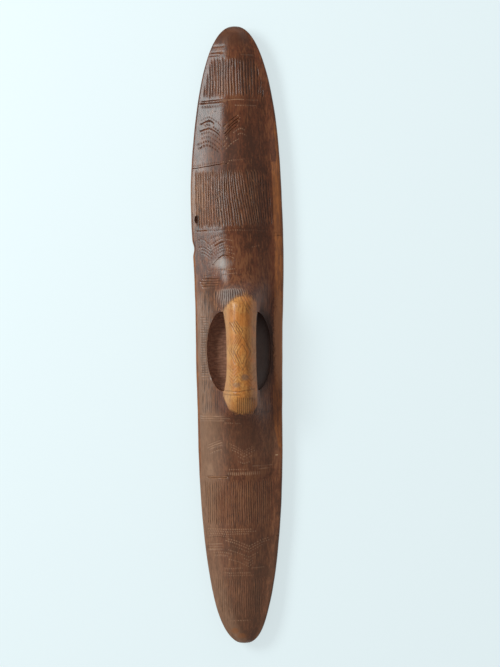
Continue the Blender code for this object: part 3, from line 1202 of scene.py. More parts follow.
@dataclass(frozen=True)
class Wire:
    """The value of a socket, for sums that are written as Python expressions."""

    sheet: "NodeSheet"
    socket: bpy.types.NodeSocket

    def __add__(self, other: "Wire | float") -> "Wire":
        """This value plus another."""
        return self.sheet.maths("ADD", self, other)

    def __radd__(self, other: float) -> "Wire":
        """A number plus this value."""
        return self.sheet.maths("ADD", other, self)

    def __sub__(self, other: "Wire | float") -> "Wire":
        """This value less another."""
        return self.sheet.maths("SUBTRACT", self, other)

    def __rsub__(self, other: float) -> "Wire":
        """A number less this value."""
        return self.sheet.maths("SUBTRACT", other, self)

    def __mul__(self, other: "Wire | float") -> "Wire":
        """This value times another."""
        return self.sheet.maths("MULTIPLY", self, other)

    def __rmul__(self, other: float) -> "Wire":
        """A number times this value."""
        return self.sheet.maths("MULTIPLY", other, self)

    def __truediv__(self, other: "Wire | float") -> "Wire":
        """This value divided by another."""
        return self.sheet.maths("DIVIDE", self, other)

    def smooth(self, low: float, high: float) -> "Wire":
        """Runs from 0 at low to 1 at high with level ends."""
        sockets = {"Value": self, "From Min": low, "From Max": high}
        return self.sheet.node("ShaderNodeMapRange", {"interpolation_type": "SMOOTHSTEP"}, sockets, "Result")


class NodeSheet:
    """The nodes of one material, added from Python."""

    def __init__(self, name: str) -> None:
        """Starts a material with its shader.

        Args:
            name: The material's name.
        """
        self.material = bpy.data.materials.new(name)
        self.material.use_nodes = True
        self.tree = self.material.node_tree
        self.shader = self.tree.nodes["Principled BSDF"]

    def node(
        self,
        kind: str,
        settings: dict[str, object] | None = None,
        sockets: dict[str | int, object] | None = None,
        output: str | int = 0,
    ) -> Wire:
        """Adds a node.

        Args:
            kind: Blender's type name of the node.
            settings: Properties of the node, set first.
            sockets: Values or wires for its inputs.
            output: Which output to hand back.

        Returns:
            That output as a wire.
        """
        made = self.tree.nodes.new(kind)
        for name, value in (settings or {}).items():
            setattr(made, name, value)
        self.feed(made, sockets or {})
        return Wire(self, made.outputs[output])

    def feed(self, node: bpy.types.Node, sockets: dict[str | int, object]) -> None:
        """Links wires to a node's inputs, or sets the inputs' own values.

        Args:
            node: The node.
            sockets: Values or wires for its inputs.
        """
        for name, value in sockets.items():
            if isinstance(value, Wire):
                self.tree.links.new(value.socket, node.inputs[name])
            else:
                node.inputs[name].default_value = value

    def maths(self, operation: str, one: Wire | float, other: Wire | float) -> Wire:
        """A sum of two values."""
        return self.node("ShaderNodeMath", {"operation": operation}, {0: one, 1: other})

    def mix(self, share: Wire | float, one: Wire | Colour, other: Wire | Colour) -> Wire:
        """The colour that lies a share of the way from one colour to the other."""
        colours = [value if isinstance(value, Wire) else (*value, 1.0) for value in (one, other)]
        return self.node("ShaderNodeMix", {"data_type": "RGBA"}, {0: share, 6: colours[0], 7: colours[1]}, 2)

    def speckle(self, where: Wire, scale: float, detail: float, roughness: float, *stretch: float) -> Wire:
        """Smooth noise between 0 and 1.

        Args:
            where: The place.
            scale: Waves to a metre.
            detail: How many finer waves lie on it.
            roughness: How strong those are.
            stretch: Three factors for the place, if the noise is drawn out.

        Returns:
            The noise.
        """
        if stretch:
            where = self.node("ShaderNodeVectorMath", {"operation": "MULTIPLY"}, {0: where, 1: stretch})
        sockets = {"Vector": where, "Scale": scale, "Detail": detail, "Roughness": roughness}
        return self.node("ShaderNodeTexNoise", None, sockets, "Fac")

    def attribute(self, name: str) -> Wire:
        """A value that the mesh carries at its points."""
        settings = {"attribute_type": "GEOMETRY", "attribute_name": name}
        return self.node("ShaderNodeAttribute", settings, None, "Fac")


@dataclass(frozen=True)
class Oval:
    """An oval patch of another colour: a crack, a smudge, a nick, or painted sheen, light or shade."""

    x: float
    y: float
    half_width: float
    half_length: float
    colour: Colour
    strength: float = 0.8

    def distance(self, across: Wire | float, along: Wire) -> Wire:
        """Squared distance from the middle, 1 on the outline.

        Args:
            across: The place across.
            along: The place along.

        Returns:
            The distance.
        """
        sideways = (across - self.x) / self.half_width
        lengthways = (along - self.y) / self.half_length
        return sideways * sideways + lengthways * lengthways


@dataclass(frozen=True)
class OiledHardwood:
    """Old oiled hardwood: dark red-brown, paler where hands have rubbed it, orange in the sapwood."""

    shadow_brown: Colour = (0.066, 0.020, 0.008)
    red_brown: Colour = (0.128, 0.034, 0.013)
    warm_brown: Colour = (0.240, 0.092, 0.034)
    pale_brown: Colour = (0.280, 0.145, 0.084)
    worn_crest: Colour = (0.330, 0.138, 0.062)
    # Grey-white of painted sheen, for lenses on the left flank and the ridge's upper ramp.
    painted_sheen: Colour = (0.340, 0.275, 0.240)
    # Pale tan in the shallow pricks: partly a pale fill, partly painted glint.
    dust_and_glint: Colour = (0.400, 0.210, 0.120)
    sapwood: Colour = (0.260, 0.082, 0.022)
    # Orange sapwood with painted light, for the strip in the grip's shadow.
    sapwood_painted_light: Colour = (0.420, 0.175, 0.080)
    sapwood_dark: Colour = (0.150, 0.048, 0.018)
    hollow_brown: Colour = (0.350, 0.154, 0.092)
    hollow_shade: Colour = (0.215, 0.089, 0.050)
    # Near black of the painted shade in the hollow's right well and past its right rim.
    right_well_painted_shade: Colour = (0.024, 0.011, 0.008)
    honey: Colour = (0.560, 0.235, 0.060)
    honey_red: Colour = (0.470, 0.140, 0.024)
    honey_dark: Colour = (0.250, 0.076, 0.013)
    smudge: Colour = (0.170, 0.095, 0.060)
    # Grey tone of painted sheen on the grip's left side.
    grip_painted_sheen: Colour = (0.290, 0.165, 0.090)
    groove_dirt: Colour = (0.020, 0.008, 0.005)
    crack_black: Colour = (0.010, 0.006, 0.005)
    nick_pale: Colour = (0.450, 0.280, 0.160)
    roughness: float = 0.33
    reflection: float = 0.29
    grain_strength: float = 0.50
    grain_depth: float = 0.00008

    def spots(self) -> list[Oval]:
        """The single cracks, smudges, nicks and patches of the back, some of them painted light or shade.

        Returns:
            The patches, in the order in which they are laid on.
        """
        return [
            Oval(-0.0445, 0.1510, 0.0007, 0.0065, self.crack_black, 0.7),
            Oval(-0.0466, 0.1290, 0.0008, 0.0060, self.crack_black),
            Oval(-0.0478, 0.1388, 0.0027, 0.0056, self.crack_black, 0.75),
            Oval(-0.0395, 0.0390, 0.0006, 0.0150, self.groove_dirt, 0.6),
            Oval(-0.0350, 0.0400, 0.0006, 0.0140, self.groove_dirt, 0.6),
            Oval(0.0067, -0.0500, 0.0050, 0.0040, self.smudge, 0.65),
            Oval(-0.0032, -0.0590, 0.0046, 0.0032, self.smudge, 0.50),
            # Painted light: the grip's foot, which faces away from the light, is lightened with honey.
            Oval(0.0030, -0.0830, 0.0130, 0.0090, self.honey, 0.35),
            # Painted light on the right strip beside the grip, where the grip's shadow falls.
            Oval(0.0480, -0.0080, 0.0065, 0.0560, self.sapwood_painted_light, 0.60),
            Oval(0.0100, -0.1190, 0.0170, 0.0230, self.shadow_brown, 0.45),
            Oval(0.0436, -0.1446, 0.0019, 0.0006, self.nick_pale),
            Oval(-0.0365, -0.1610, 0.0040, 0.0090, self.pale_brown, 0.6),
            # Painted sheen: pale grey lenses on the left flank above the grip, standing for the window's
            # reflection.
            Oval(-0.0195, 0.0850, 0.0140, 0.0066, self.painted_sheen, 0.26),
            Oval(-0.0210, 0.0860, 0.0080, 0.0050, self.painted_sheen, 0.22),
            Oval(-0.0322, 0.1045, 0.0036, 0.0052, self.painted_sheen, 0.14),
            # Painted shade over the upper tip.
            Oval(-0.0020, 0.3580, 0.0240, 0.0140, self.shadow_brown, 0.70),
            Oval(-0.0095, -0.3540, 0.0050, 0.0040, self.sapwood, 0.5),
            Oval(-0.0020, -0.3600, 0.0060, 0.0035, self.sapwood, 0.5),
            Oval(0.0020, 0.3640, 0.0110, 0.0030, self.sapwood_dark, 0.5),
        ]

    def material(self) -> bpy.types.Material:
        """The finish, which reads the values that the wear and painted-light map has written.

        Returns:
            The material.
        """
        sheet = NodeSheet("carved_hardwood")
        where = sheet.node("ShaderNodeTexCoord", None, None, "Object")
        across, along = (sheet.node("ShaderNodeSeparateXYZ", None, {"Vector": where}, axis) for axis in "XY")
        groove, crest, handled, sap, pit, back, pale, dust_and_glint = (
            sheet.attribute(name)
            for name in ("groove", "crest", "handled", "sapwood", "pit", "back", "pale", "dust_and_glint")
        )
        fibre = sheet.speckle(where, 900.0, 3.0, 0.6, 1.0, 0.045, 1.0)
        figure = sheet.speckle(where, 85.0, 3.0, 0.55, 1.0, 0.10, 0.7)
        fleck = sheet.speckle(where, 420.0, 2.0, 0.6, 1.0, 0.22, 1.0)
        nick = sheet.speckle(where, 760.0, 2.0, 0.6, 1.0, 0.45, 1.0)
        cloud = sheet.speckle(where, 17.0, 3.0, 0.6)
        pores = sheet.speckle(where, 2100.0, 1.0, 0.5, 1.0, 0.030, 1.0).smooth(0.60, 0.72)
        gouge = sheet.speckle(where, 520.0, 2.0, 0.6, 0.22, 1.0, 0.6)

        tone = (figure * 0.6 + cloud * 0.7 + fleck * 0.65 + nick * 0.65 - 0.80).smooth(0.32, 0.66)
        colour = sheet.mix(tone, self.shadow_brown, self.red_brown)
        bright = (fleck * 0.7 + cloud * 0.6 + fibre * 0.4).smooth(0.84, 1.06)
        colour = sheet.mix(bright * 0.46, colour, self.warm_brown)
        # Paler brown on the left flank, partly painted light and sheen, and over the lower half.
        colour = sheet.mix(pale * (0.35 + fleck * 0.6), colour, self.pale_brown)

        ragged = sap + (fibre - 0.5) * 0.25 + (cloud - 0.5) * 0.2
        sap_tone = sheet.mix((fibre * 0.6 + fleck * 0.6).smooth(0.48, 0.72), self.sapwood_dark, self.sapwood)
        colour = sheet.mix(ragged.smooth(0.35, 0.65) * 0.9, colour, sap_tone)

        rubbed = (handled + (cloud - 0.5) * 0.35 + (fleck - 0.5) * 0.55).smooth(0.28, 0.74)
        glow = (figure * 0.7 + nick * 0.5 + fleck * 0.5 - 0.36).smooth(0.26, 0.66)
        # Painted shade: the honey darkens towards the grip's right side, away from the light.
        glow = glow * (1.0 - across.smooth(0.002, 0.022) * 0.55)
        honey = sheet.mix(glow, self.honey_dark, self.honey)
        reddish = sheet.speckle(where, 75.0, 2.0, 0.5).smooth(0.44, 0.60)
        honey = sheet.mix(reddish * 0.55, honey, self.honey_red)
        # Painted sheen: a grey tone on the grip's left side.
        honey = sheet.mix(0.45 - across.smooth(-0.016, -0.003) * 0.45, honey, self.grip_painted_sheen)
        colour = sheet.mix(rubbed, colour, honey)

        # Painted sheen on the ridge's upper ramp and on the crests of its flutes.
        ridge = Oval(-0.0085, 0.0455, 0.019, 0.015, self.painted_sheen, 0.16)
        painted_sheen_share = (1.0 - ridge.distance(across, along).smooth(0.00, 1.25)) * (1.0 - rubbed)
        colour = sheet.mix(painted_sheen_share * ridge.strength, colour, ridge.colour)
        crest_tone = sheet.mix(painted_sheen_share, self.worn_crest, self.painted_sheen)
        colour = sheet.mix(crest.smooth(0.10, 0.85) * 0.54 * (1.0 - rubbed), colour, crest_tone)
        colour = sheet.mix(groove.smooth(0.05, 1.0) * (0.50 + rubbed * 0.06), colour, self.groove_dirt)
        # Pale fill and painted glint in the shallow pricks and cuts.
        colour = sheet.mix(dust_and_glint * 0.95, colour, self.dust_and_glint)
        # Inside the hollow: gouged brown, lighter than the wood, partly fresh-cut wood and partly painted
        # light.
        inside = sheet.mix(gouge.smooth(0.38, 0.62), self.hollow_shade, self.hollow_brown)
        # Painted shade: towards and past the grip's right side the hollow and its rim are painted near
        # black.
        inside = sheet.mix(across.smooth(0.008, 0.018), inside, self.right_well_painted_shade)
        colour = sheet.mix(pit * 0.95, colour, inside)
        colour = sheet.mix(pores * 0.35, colour, self.groove_dirt)
        for spot in self.spots():
            wavering = across + (nick - 0.5) * (spot.half_width * 1.6)
            share = 1.0 - spot.distance(wavering, along).smooth(0.20, 1.5)
            colour = sheet.mix(share * back * spot.strength, colour, spot.colour)

        matt = across.smooth(-0.042, -0.024) * along.smooth(0.185, 0.200)
        matt = matt * (1.0 - along.smooth(0.228, 0.252))
        polish = self.roughness + (cloud - 0.5) * 0.16 + matt * 0.22 + groove * 0.22 + pit * 0.35
        height = fibre * 0.7 + fleck * 0.3 + nick * 0.15 - pores * 0.5
        relief = {"Strength": self.grain_strength, "Distance": self.grain_depth, "Height": height}
        normal = sheet.node("ShaderNodeBump", None, relief, "Normal")
        sheet.feed(sheet.shader, {"Base Color": colour, "Roughness": polish, "Normal": normal})
        sheet.shader.inputs["Specular IOR Level"].default_value = self.reflection
        return sheet.material


@dataclass(frozen=True)
class PaleFloor:
    """A plain matt floor, nearly white with a touch of blue, that glows a little like a light table."""

    colour: Colour = (0.24, 0.25, 0.25)
    glow: Colour = (0.57, 0.655, 0.675)
    roughness: float = 0.9
    reflection: float = 0.1

    def material(self) -> bpy.types.Material:
        """The finish as a plain material.

        Returns:
            The material.
        """
        sheet = NodeSheet("pale_floor")
        values = {
            "Base Color": (*self.colour, 1.0),
            "Roughness": self.roughness,
            "Specular IOR Level": self.reflection,
            "Emission Color": (*self.glow, 1.0),
            "Emission Strength": 1.0,
        }
        sheet.feed(sheet.shader, values)
        return sheet.material


@dataclass(frozen=True)
class Place:
    """A point of the carved mesh, measured against the shield's uncarved form."""

    x: float
    y: float
    z: float
    across: float
    inner: float
    half: float
    depth: float


@dataclass(frozen=True)
class WearAndPaintedLightMap:
    """Says, from 0 to 1, how each point of the carved mesh is cut, rubbed, coloured, or painted lit or
    shaded.
    """

    form: ShieldForm
    full_flute: float = 0.00110
    full_cut: float = 0.00036
    deepest_cut: float = 0.002
    upper_middle: float = 0.0062
    foot_middle: float = 0.0072
    fluted: tuple[Pair, ...] = ((0.333, 0.281), (0.198, 0.125), (-0.168, -0.231), (-0.289, -0.339))

    def place(self, point: Vector) -> Place:
        """Measures a point of the mesh.

        Args:
            point: The point.

        Returns:
            The point with its distance from the centre line, its row's widths and its depth.
        """
        form = self.form
        x, y, z = point
        across, inner = x - form.centre_line(y), form.inner_half_width(y)
        uncarved = form.back_height(across / max(1e-4, inner), y) - form.rim_roll(across, y)
        return Place(x, y, z, across, inner, form.half_width(y), uncarved - z)

    def is_fluted(self, y: float) -> bool:
        """Whether a place along the shield lies in a band of flutes."""
        return any(low < y < high for high, low in self.fluted)

    def groove(self, at: Place) -> float:
        """How deep in a groove a point lies.

        Args:
            at: The point.

        Returns:
            The share of the full depth.
        """
        full = self.full_flute if self.is_fluted(at.y) else self.full_cut
        if at.depth > self.deepest_cut or abs(at.across) > at.inner:
            return 0.0
        return min(1.0, max(0.0, at.depth / full))

    def dust_and_glint(self, at: Place) -> float:
        """A shallow prick or cut's pale fill and painted glint on its edges; the deep ones stay dark.

        Args:
            at: The point.

        Returns:
            The share of pale fill and painted glint.
        """
        if self.is_fluted(at.y) or -0.0955 < at.y < 0.0550 or abs(at.across) > at.inner:
            return 0.0
        shallow = smooth_step((at.depth - 0.00006) / 0.00034)
        shallow *= 1.0 - smooth_step((at.depth - 0.00062) / 0.00018)
        if at.y < 0.0:
            return shallow * smooth_step((abs(at.y + 0.1698) - 0.0011) / 0.0006)
        # In the upper half the painted glint is left off the left flank, where the sheen lies, and halved on
        # the right.
        right = 1.0 - 0.5 * smooth_step((at.across - 0.004) / 0.010)
        return shallow * smooth_step((at.across + 0.020) / 0.008) * right

    def pit(self, at: Place) -> float:
        """How far inside the hollow or the knot's pit a point lies, with painted shade past the right rim.

        Args:
            at: The point.

        Returns:
            The share.
        """
        form = self.form
        if abs(at.across) > at.inner or at.z > 0.040:
            return 0.0
        from_hollow = form.hollow_distance(at.across, at.y)
        if at.z < form.edge_bottom(at.y) + 0.0005 and from_hollow > 0.0:
            return 0.0
        if form.front_height(at.across / at.inner, at.y) > at.z - 0.003:
            return 0.0
        # Painted shade: past the hollow's right rim the share fades out over 14 mm.
        rim = 0.78 * bump(from_hollow, 0.014) if at.across > 0.022 else 0.0
        return max(rim, smooth_step((at.depth - 0.0010) / 0.003))

    def back(self, at: Place) -> float:
        """Whether a point lies on the carved back: 1 there and 0 on the front."""
        return 1.0 if at.z > self.form.edge_middle(at.y) else 0.0

    def handled(self, at: Place) -> float:
        """How much hands have rubbed a point paler.

        Args:
            at: The point.

        Returns:
            The share, 0.5 at the border of the pale patch.
        """
        reach, drop = (0.0240, 0.0156) if at.across < self.upper_middle else (0.0137, 0.0082)
        upper = 0.0452 - drop * ((at.across - self.upper_middle) / reach) ** 2
        reach, rise = (0.0207, 0.0079) if at.across < self.foot_middle else (0.0119, 0.0063)
        lower = -0.0932 + rise * ((at.across - self.foot_middle) / reach) ** 4
        inside = min((upper + 0.002 - at.y) / 0.018, (at.y - lower) / 0.011)
        inside = min(inside, (at.across + 0.0196) / 0.005, (0.0205 - at.across) / 0.004)
        low = smooth_step((0.0385 - at.z) / 0.006)
        return min(1.0, max(0.0, 0.5 + inside)) * (1.0 - low)

    def sapwood(self, at: Place) -> float:
        """How much a point belongs to the orange strips along the edges.

        Args:
            at: The point.

        Returns:
            The share, about 0.5 at the strips' border.
        """
        inward = at.half - abs(at.across)
        if at.across < 0.0:
            limit = 0.0042 * smooth_step((0.130 - at.y) / 0.030) * smooth_step((at.y + 0.200) / 0.050)
            return min(1.0, max(0.0, 0.5 + (limit - inward - 0.0008) / 0.005)) * 0.8
        limit = 0.0040 * smooth_step((0.262 - at.y) / 0.012) + 0.0070 * smooth_step((0.2085 - at.y) / 0.0020)
        limit *= smooth_step((at.y + 0.170) / 0.075)
        dull = 0.15 * smooth_step((0.130 - at.y) / 0.003) * smooth_step((at.y - 0.0545) / 0.003)
        rim = smooth_step((0.0022 - inward) / 0.0014)
        return min(1.0, max(0.0, 0.5 + (limit - inward) / 0.0024)) * (1.0 - dull) * (1.0 - 0.5 * rim)

    def pale(self, at: Place) -> float:
        """How much paler a point is made: the left flank and the whole lower half.

        Args:
            at: The point.

        Returns:
            The share.
        """
        # Left flank: partly paler wood, partly painted light; the bump at 0.165 paints sheen there.
        along = max(smooth_step((0.075 - at.y) / 0.05), 0.65 * bump(at.y - 0.165, 0.050))
        spread = 0.016 * smooth_step((-0.085 - at.y) / 0.015) * smooth_step((at.y + 0.200) / 0.030)
        flank = along * smooth_step((0.030 + spread - at.half - at.across) / (0.022 + spread))
        middle = 0.34 * smooth_step((-0.110 - at.y) / 0.200) + 0.28 * bump(at.y + 0.130, 0.050)
        return max(flank * (1.0 - 0.25 * bump(at.y + 0.262, 0.045)), middle)

    def crest_share(self, at: Place) -> float:
        """How pale the crests are: most in the flutes, a little beside the single cuts, not on the grip.

        Args:
            at: The point.

        Returns:
            The share, worn down by hands and age.
        """
        worn = 1.25 if at.y < -0.10 else 1.0 - 0.45 * smooth_step((at.x - 0.022) / 0.008)
        # On the ridge above the grip the pale crests partly paint the window's sheen.
        if 0.028 < at.y < 0.055 and -0.029 < at.x < 0.012:
            return worn
        if self.is_fluted(at.y):
            return (0.66 if at.y > 0.280 else 1.0) * worn
        return (0.30 if at.y > 0.055 or at.y < -0.0955 else 0.12) * worn

    def crests(self, mesh: bpy.types.Mesh, places: Sequence[Place], grooves: Sequence[float]) -> list[float]:
        """How far each point stands out between the flutes beside it.

        Args:
            mesh: The carved mesh.
            places: Its points.
            grooves: The groove value of every point.

        Returns:
            The value of every point.
        """
        sums = [0.0] * len(grooves)
        for edge in mesh.edges:
            one, other = edge.vertices
            sums[one] += max(0.0, grooves[other] - grooves[one])
            sums[other] += max(0.0, grooves[one] - grooves[other])
        return [min(1.0, total) * self.crest_share(at) for total, at in zip(sums, places)]

    def write(self, mesh: bpy.types.Mesh) -> None:
        """Writes the values to the mesh's points.

        Args:
            mesh: The carved mesh.
        """
        places = [self.place(vertex.co) for vertex in mesh.vertices]
        measures = (self.groove, self.dust_and_glint, self.pit, self.back, self.pale, self.handled, self.sapwood)
        values = {measure.__name__: [measure(at) for at in places] for measure in measures}
        values["crest"] = self.crests(mesh, places, values["groove"])
        for name, numbers in values.items():
            mesh.attributes.new(name, "FLOAT", "POINT").data.foreach_set("value", numbers)


@dataclass(frozen=True)
class Carving:
    """The bands of carving on the back, from the upper tip to the lower tip."""

    line_pitch: float = 0.0010

    def bands(self) -> list[Band]:
        """Every band of the back, from the upper tip to the lower tip.

        Returns:
            The bands.
        """
        return [
            PlainTip(0.3700, 0.3490),
            self.upper_lines(),
            FluteBand(0.3325, 0.2812, 0.0034, 0.00100, 0.0040, 0.0080, broken=0.25, stroke=0.026, seed=2.0),
            self.shoulder_lines(),
            self.first_zigzag(),
            FluteBand(
                0.1975, 0.1255, 0.0029, 0.0009, 0.0028, 0.011, lean=-0.13, broken=0.6, stroke=0.023, seed=5.0
            ),
            self.second_zigzag(),
            GripField(0.0550, -0.0955),
            self.third_zigzag(),
            FluteBand(-0.1712, -0.2300, 0.0025, 0.00066, 0.0040, 0.0090, broken=0.4, stroke=0.026, seed=8.0),
            self.fourth_zigzag(),
            FluteBand(-0.2885, -0.3385, 0.0026, 0.0005, 0.0045, 0.0075, broken=0.4, stroke=0.020, seed=10.0),
            self.last_pricks(),
            PlainTip(-0.3450, -0.3700),
        ]

    def upper_lines(self) -> StrandBand:
        """Three lines across below the upper tip.

        Returns:
            The band.
        """
        strands = (
            strand((344.8, 346.2), (0.16, 0.5), cut(-28, -12)),
            strand((336.8, 338.6), (0.22, 0.5), cut(-36, -12)),
            strand((333.5, 335), (0.18, 0.5), cut(-38, -16), cut(6, 22)),
        )
        return StrandBand(0.3490, 0.3325, strands, 1.0, column_pitch=self.line_pitch)

    def shoulder_lines(self) -> StrandBand:
        """Three lines across under the first flutes.

        Returns:
            The band.
        """
        strands = (
            strand((279.8, 280.2), (0.4, 0.6), cut(-42, 12), dashes(12, 30)),
            strand((277.6, 277.8), (0.36, 0.5), cut(-43, -10)),
            strand((273.2, 273.7), (0.4, 0.6, 3), dashes(-41, -12), dashes(-2, 26)),
        )
        return StrandBand(0.2812, 0.2700, strands, 3.0, column_pitch=self.line_pitch)

    def first_zigzag(self) -> StrandBand:
        """Arches and slanting strokes over the left half, and slanting lines below them.

        Returns:
            The band.
        """
        strands = (
            strand((268, 264.5), (0.45, 0.9, 9), dots(-36.5, -33), dots(-27.5, -24.5)),
            strand((255.5, 260.5, 247, 262, 250, 258), (), dots(-44, -16), cut(-15, 4)),
            strand(
                (250, 256, 241, 258.5, 243, 254.5),
                (0.72, 0.7), cut(-44, -26.5), ticks(-19, -16.5), cut(-15, 6),
            ),
            strand(
                (246, 251.5, 237.2, 254.8, 239, 250.5),
                (0.84, 0.9), dots(-39, -30), ticks(-29, -17), cut(-14, 5.5),
            ),
            strand((242.5, 247.2, 233.4, 250.5, 235, 246.5), (0.66, 0.6), cut(-44, -18), cut(-12.5, 3.5)),
            strand((237.5, 242.5, 229.2, 245.5, 231, 242), (0.82, 1.1), ticks(-43, -8), dots(-4, 12)),
            strand((231.5, 237, 223.6, 240, 226, 237), (0.85, 0.9), dots(-41, -10), dots(2, 14)),
            strand((226.2, 231.5, 217.8, 234, 220.5, 231.5), (0.9, 1), dots(-47, -14), dots(-12, 6)),
            strand((221.2, 226.6, 213, 229, 216, 226.8), (0.68, 0.7, 3.4), dashes(-44, -19)),
            strand((202, 213.5), (0.45, 0.9, 2.4), ticks(-50, -12), dots(-10, 12)),
            strand((199.5, 211), (0.7, 0.6), cut(-50, -8)),
        )
        return StrandBand(0.2700, 0.1975, strands, 4.0, (-0.0480, -0.0340, -0.0148, 0.0062, 0.0254, 0.0470))

    def second_zigzag(self) -> StrandBand:
        """Arches over a plain lens, two rows of short strokes and four lines.

        Returns:
            The band.
        """
        strands = (
            strand((124.8, 123.6), (0.45, 0.5), cut(-49.6, -34.6), dots(-33.6, 36.4)),
            strand((118.5, 119, 115, 119, 115, 119, 120), (0.55, 2, 2.4), ticks(-33, -13)),
            strand((110.5, 114.6, 106.2, 114.2, 108.5, 115, 117.2), (0.52, 0.8, 2.4), dots(-48, -6)),
            strand(
                (107.2, 109.6, 102.2, 110.2, 104.2, 111.2, 113.8),
                (0.45, 0.6), dots(-38, -29), cut(-28.5, -15),
            ),
            strand(
                (103.4, 105.2, 98.4, 106.4, 100.4, 107.4, 110.2),
                (0.5, 0.8, 2.4), dots(-48, -4), dots(15, 27),
            ),
            strand((99.8, 101.4, 94.6, 102.7, 96.6, 103.6, 106.6), (0.55, 0.8, 2.6), dots(-44, -5)),
            strand((96.2, 97.6, 90.8, 99, 93, 99.8, 103), (0.45,), dots(-44, -31), ticks(-30, -3)),
            strand((86.2, 86, 80.8, 94.8, 86.8, 96, 99), (0.55, 0.6), cut(-32, -4)),
            strand((77.6, 77.4, 76.8, 77.6, 78.4, 90, 94), (0.6, 1.2, 2.4), ticks(-37.6, -4)),
            strand((70, 76), (0.6, 0.8, 2.6), dots(-42.6, -1.6)),
            strand((67, 67.4), (0.5, 0.5), cut(-44, -23)),
            strand((64.1, 64.2), (0.5, 0.5), cut(-47, -21.5)),
            strand((61.1, 61.2), (0.45, 0.5), cut(-46, -22.6)),
            strand((58.1, 58), (0.45, 0.5), cut(-45, -24)),
        )
        stations = (-0.0500, -0.0430, -0.0330, -0.0175, 0.0030, 0.0340, 0.0540)
        return StrandBand(0.1255, 0.0550, strands, 6.0, stations)

    def third_zigzag(self) -> StrandBand:
        """Four lines, slanting strokes at the left and rows of pricks that dip in the middle.

        Returns:
            The band.
        """
        strands = (
            strand((-96.4, -96.8), (0.5, 0.6), scratch(-48, -16.5)),
            strand((-99.2, -99.6), (0.6, 0.6), scratch(-48, -10.5)),
            strand((-101.8, -102.2), (0.5, 0.6), scratch(-48, -17.5)),
            strand((-104.2, -104.8), (0.5, 0.8, 2.2), ticks(-18.5, -6.5), dots(-6.5, 1.5)),
            strand(
                (-134.5, -125.2, -130.2, -138.5, -129.2, -132),
                (0.5, 0.7, 2.6), scratch(-39, -22), dots(-14, 17),
            ),
            strand(
                (-137.5, -128, -133.2, -141.5, -132.2, -134.8),
                (0.55, 0.7, 2.6), scratch(-39.5, -20), dots(-11, 17),
            ),
            strand(
                (-140.3, -130.8, -136.2, -144.8, -135.4, -137.8),
                (0.6, 0.9, 3.4), scratch(-38.5, -19), dots(-10.5, 19),
            ),
            strand((-145, -136, -140.6, -148.6, -140, -143), (0.5, 0.8, 2.6), dots(-37, -20), dots(-4, 16)),
            strand((-150, -145, -148.2, -153.5, -147.8, -150), (0.4, 1.6, 2.6), ticks(-3, 14)),
            strand((-157.2, -156), (0.5, 0.6), scratch(13, 38.5)),
            strand((-159.6, -160), (0.48, 0.7, 2.8), dots(-15, 10), scratch(21.5, 38.5)),
            strand((-165.2, -164.8), (0.5, 3, 2.5), ticks(-17, 26)),
            strand((-169.6, -169.9), (0.75, 0.7), cut(-40.5, -14.5)),
        )
        stations = (-0.0440, -0.0210, -0.0120, 0.0036, 0.0258, 0.0510)
        return StrandBand(-0.0955, -0.1712, strands, 7.0, stations)

    def fourth_zigzag(self) -> StrandBand:
        """Four rows of pricks, three lines at the left and dotted dips right of the middle.

        Returns:
            The band.
        """
        strands = (
            strand((-231.6, -232), (0.55, 0.9, 2.5), dots(-40.4, 13.6)),
            strand((-234.3, -234.7), (0.55, 0.9, 2.6), dots(-39, 18)),
            strand((-237.1, -237.5), (0.55, 0.9, 2.5), dots(-40.4, 10)),
            strand((-239.9, -240.3), (0.45, 0.7, 2.6), dots(-38, -10)),
            strand((-243.2, -241.6, -252.2, -243.2, -241.8), (0.55, 0.9, 3), dots(-18, 33)),
            strand((-246.2, -244.4, -255.6, -246.2, -244.6), (0.6, 0.9, 2.6), dots(-20.4, 34.6)),
            strand(
                (-250.2, -249, -259.2, -249.6, -247.8),
                (0.5, 0.8, 2.6), scratch(-39.4, -21.4), dots(-12, 25),
            ),
            strand((-253.2, -252.2, -262.2, -252.6, -250.8), (0.6, 0.6), scratch(-39.4, -21.4)),
            strand(
                (-256.2, -255.4, -265.4, -255.6, -253.6),
                (0.55, 0.8, 2.6), scratch(-40.4, -21.4), dots(-16.4, 20),
            ),
            strand((-260, -259.4, -269.4, -259, -256.6), (0.5, 0.8, 2.6), dots(-35.4, -10), dots(0, 19)),
            strand(
                (-263.2, -262.8, -272.8, -262, -259.6),
                (0.55, 0.8, 2.5), dots(-34.4, -15), dots(1, 15.5),
            ),
            strand((-266.8, -266.4, -276.2, -265.2, -262.6), (0.5, 0.8, 2.6), dots(-18, 16.5)),
            strand((-278, -278.6), (0.45, 0.7, 2.8), dots(-25, 4), scratch(10.6, 30)),
            strand((-283.6, -284), (0.45, 1.2, 2.4), ticks(-25, 12)),
            strand((-286.8, -287), (0.4, 0.7, 2.4), dots(-24, 18)),
        )
        return StrandBand(-0.2300, -0.2885, strands, 9.0, (-0.0420, -0.0216, 0.0084, 0.0308, 0.0450))

    def last_pricks(self) -> StrandBand:
        """A few pricks above the lower tip."""
        strands = (strand((-341.5, -341), (0.4, 1), ticks(-18, 16)),)
        return StrandBand(-0.3385, -0.3450, strands, 11.0, column_pitch=self.line_pitch)


